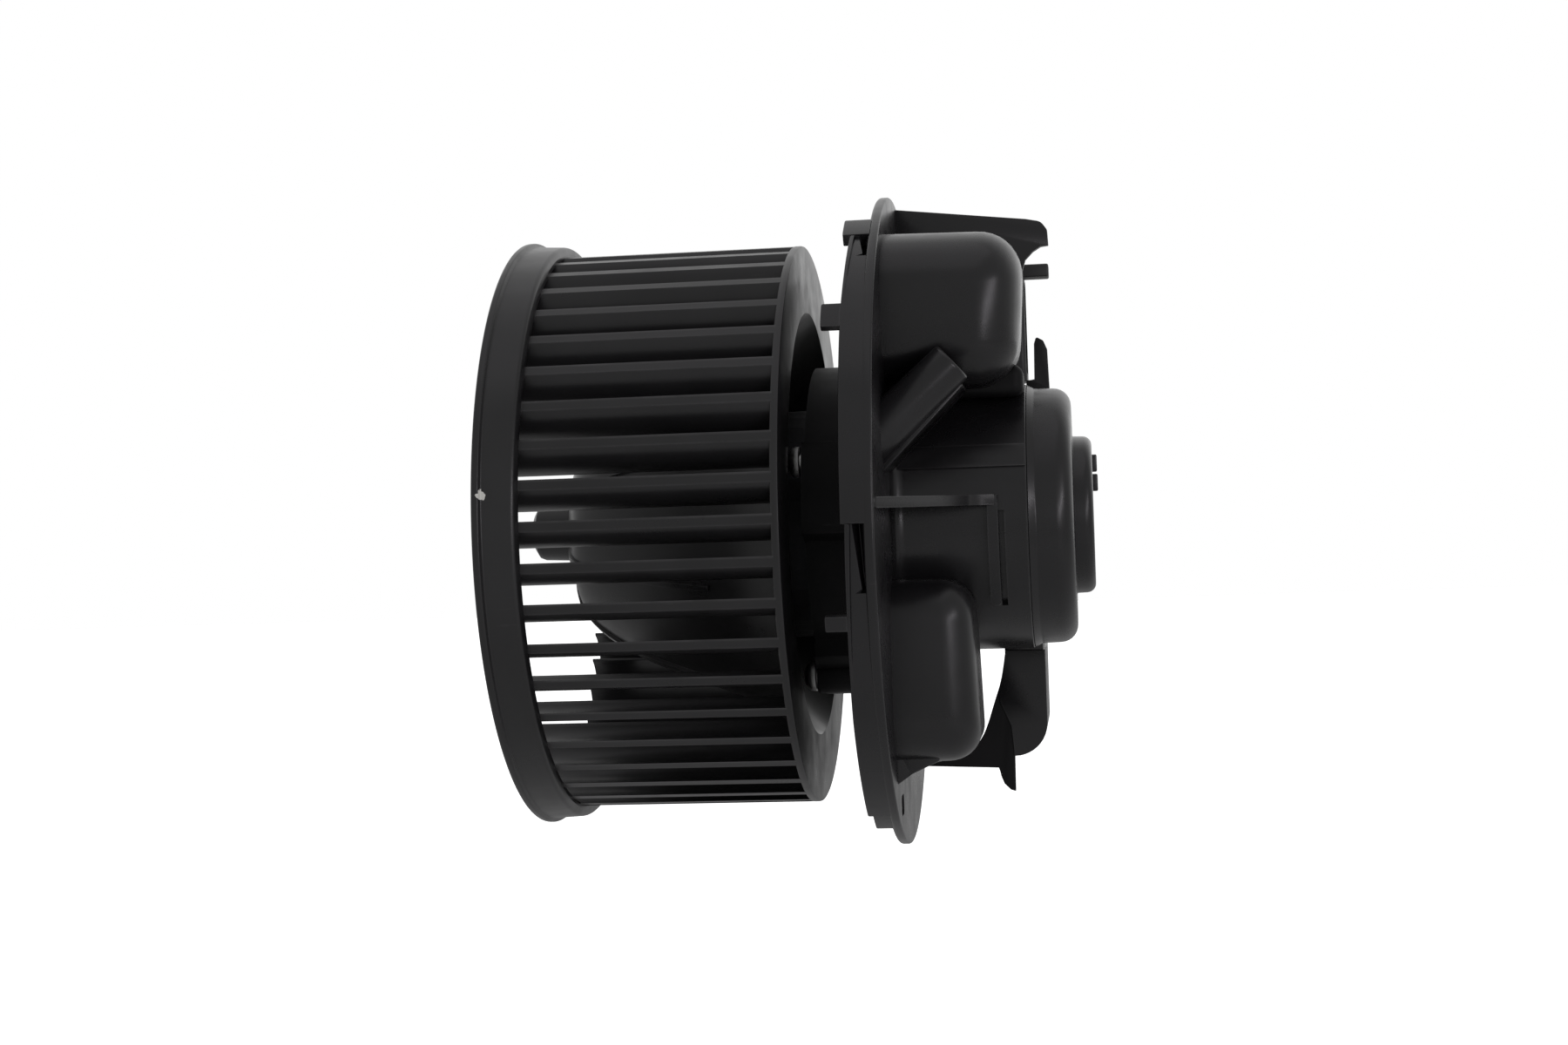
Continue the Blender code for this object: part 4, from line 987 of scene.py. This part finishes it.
def build_screws():
    """Pan-head screws with a cross recess, each from its CAD node's own length."""
    for i, angle in enumerate(SCREW_ANGLES):
        node = f"retainer_screw_{i + 1}"
        low, high = corners_mm(node)
        seat = COLLAR_LOW.y - 0.3
        brim = seat - 1.0
        head = [(0.0, low.y)]
        for a in (0.2, 0.45, 0.7, 0.95, 1.2, 1.4, 1.57):
            head.append((SCREW_HEAD_R * math.sin(a), brim - (brim - low.y) * math.cos(a)))
        outline = head + [(SCREW_HEAD_R, seat - 0.25), (SCREW_HEAD_R - 0.2, seat),
                          (SCREW_SHANK_R, seat), (SCREW_SHANK_R, high.y - 1.0),
                          (1.0, high.y), (0.0, high.y)]
        bm = bmesh.new()
        x, z = polar(SCREW_R, angle)
        add_turned(bm, outline, 40, (x, z))
        screw = piece(bm, f"screw_{i + 1}", MATS["screw_zinc"], HOUSING, node)
        for half_x, half_z in ((2.0, 0.38), (0.38, 2.0)):
            cross = bmesh.new()
            add_box(cross, (x - half_x, low.y - 1.0, z - half_z),
                    (x + half_x, low.y + 1.3, z + half_z), 0.1, 1)
            cut_away(screw, cross)


def build_plug():
    """Two-pole plug socket on the far side of the housing, with its latch and finger."""
    bm = bmesh.new()
    add_box(bm, (-50.0, PLUG_LOW.y, 36.4), (-30.0, 34.4, 65.2), 1.2, 4)
    plug = piece(bm, "plug_socket", MATS["connector_plastic"], HOUSING, "connector_housing")
    mouth = bmesh.new()
    add_box(mouth, (-48.0, 21.0, 38.6), (-32.0, 37.0, 62.8), 0.8, 3)
    cut_away(plug, mouth)
    bm = bmesh.new()
    add_box(bm, (-44.0, 22.0, 64.4), (-36.0, 41.0, 67.9), 0.5, 3)
    finger = rounded([(34.0, 36.8, 0.0), (36.4, 36.8, 0.2), (36.4, 46.6, 0.4), (37.0, 48.5, 0.5),
                      (38.9, 47.4, 1.2), (39.9, 45.0, 1.0), (40.2, 34.2, 0.2), (34.0, 34.2, 0.0)])
    add_slab(bm, finger, "x", -41.4, -38.6, 0.3)
    piece(bm, "plug_latch", MATS["connector_plastic"], HOUSING, "connector_housing")


# ================================================================================================
# Studio, in metres
# ================================================================================================
CAMERA_PLACE = (0.58646, 0.0496, 0.00054)
CAMERA_AZIMUTH = 7.57         # degrees from +X towards +Y
CAMERA_ROLL = 1.97
CAMERA_LENS = 52.7
FLOOR_Z = -0.25
FLOOR_HALF = 6.0
FLOOR_GLOW = 0.03
SKY_BEHIND = (-0.95, 1.0)     # direction along X and strength, at each end of the sky's fade
SKY_FRONT = (-0.12, 0.40)


def build_camera():
    """Camera at the photograph's viewing angle."""
    data = bpy.data.cameras.new("camera")
    data.lens = CAMERA_LENS
    data.sensor_width = 36.0
    data.clip_start = 0.01
    camera = bpy.data.objects.new("camera", data)
    azimuth, roll = math.radians(CAMERA_AZIMUTH), math.radians(CAMERA_ROLL)
    back = Vector((math.cos(azimuth), math.sin(azimuth), 0.0))
    side = Vector((-math.sin(azimuth), math.cos(azimuth), 0.0))
    right = side * math.cos(roll) - Vector((0, 0, math.sin(roll)))
    up = back.cross(right)
    turn = Matrix((right, up, back)).transposed().to_4x4()
    camera.matrix_world = Matrix.Translation(CAMERA_PLACE) @ turn
    bpy.context.scene.collection.objects.link(camera)
    bpy.context.scene.camera = camera


def softbox(name, place, target, size, energy, roll=0.0):
    """Area light at a place, aimed at a target and rolled by some degrees about its own aim."""
    data = bpy.data.lights.new(name, "AREA")
    data.shape = "RECTANGLE"
    data.size, data.size_y = size
    data.energy = energy
    data.color = (1.0, 0.96, 1.02)
    light = bpy.data.objects.new(name, data)
    aim = Vector(target) - Vector(place)
    turn = aim.to_track_quat("-Z", "Y").to_matrix() @ Matrix.Rotation(math.radians(roll), 3, "Z")
    light.matrix_world = Matrix.Translation(place) @ turn.to_4x4()
    bpy.context.scene.collection.objects.link(light)


def build_floor():
    """Plain pale floor that the camera sees as white."""
    bm = bmesh.new()
    bmesh.ops.create_grid(bm, x_segments=1, y_segments=1, size=FLOOR_HALF)
    mesh = bpy.data.meshes.new("floor")
    bm.to_mesh(mesh)
    bm.free()
    floor = bpy.data.objects.new("floor", mesh)
    floor.location.z = FLOOR_Z
    bpy.context.scene.collection.objects.link(floor)
    paper = Finish("floor_paper", (0.9, 0.9, 0.9), 0.9)
    seen = paper.tree.nodes.new("ShaderNodeLightPath").outputs["Is Camera Ray"]
    glow = paper.math("MAXIMUM", seen, FLOOR_GLOW)
    paper.shader.inputs["Emission Color"].default_value = (1.0, 1.0, 1.0, 1.0)
    paper.link(glow, paper.shader.inputs["Emission Strength"])
    tone = paper.mix(paper.noise(400.0), (0.62, 0.62, 0.62), (0.64, 0.64, 0.64))
    mesh.materials.append(paper.done(tone))


def build_sky():
    """White surround: full strength behind the object, fading toward the camera's side."""
    world = bpy.data.worlds.new("studio")
    bpy.context.scene.world = world
    world.use_nodes = True
    nodes, links = world.node_tree.nodes, world.node_tree.links
    sky = nodes["Background"]
    place = nodes.new("ShaderNodeTexCoord")
    split = nodes.new("ShaderNodeSeparateXYZ")
    links.new(place.outputs["Generated"], split.inputs[0])
    fade = nodes.new("ShaderNodeMapRange")
    fade.interpolation_type = "SMOOTHSTEP"
    fade.inputs["From Min"].default_value, fade.inputs["To Min"].default_value = SKY_BEHIND
    fade.inputs["From Max"].default_value, fade.inputs["To Max"].default_value = SKY_FRONT
    links.new(split.outputs["X"], fade.inputs["Value"])
    seen = nodes.new("ShaderNodeLightPath")
    level = nodes.new("ShaderNodeMath")
    level.operation = "MAXIMUM"
    links.new(fade.outputs["Result"], level.inputs[0])
    links.new(seen.outputs["Is Camera Ray"], level.inputs[1])
    sky.inputs["Color"].default_value = (1.0, 1.0, 1.0, 1.0)
    links.new(level.outputs[0], sky.inputs["Strength"])


def build_studio():
    bpy.context.scene.view_settings.view_transform = "Standard"
    centre = (0.0, -0.02, 0.0)
    softbox("top_box", (0.15, -0.1, 0.9), centre, (0.9, 0.9), 0.6)
    softbox("side_strip", (0.62, 0.50, 0.12), centre, (0.08, 0.55), 0.8, -62.0)
    build_floor()
    build_sky()


# ================================================================================================
# Everything in its place
# ================================================================================================
dress_cad_nodes()
build_blades()
build_hub()
build_flange()
build_skirt()
build_cup()
build_bulges()
build_duct()
build_far_box()
build_arms()
build_bosses()
build_cap()
build_collar()
build_screws()
build_plug()
build_camera()
build_studio()
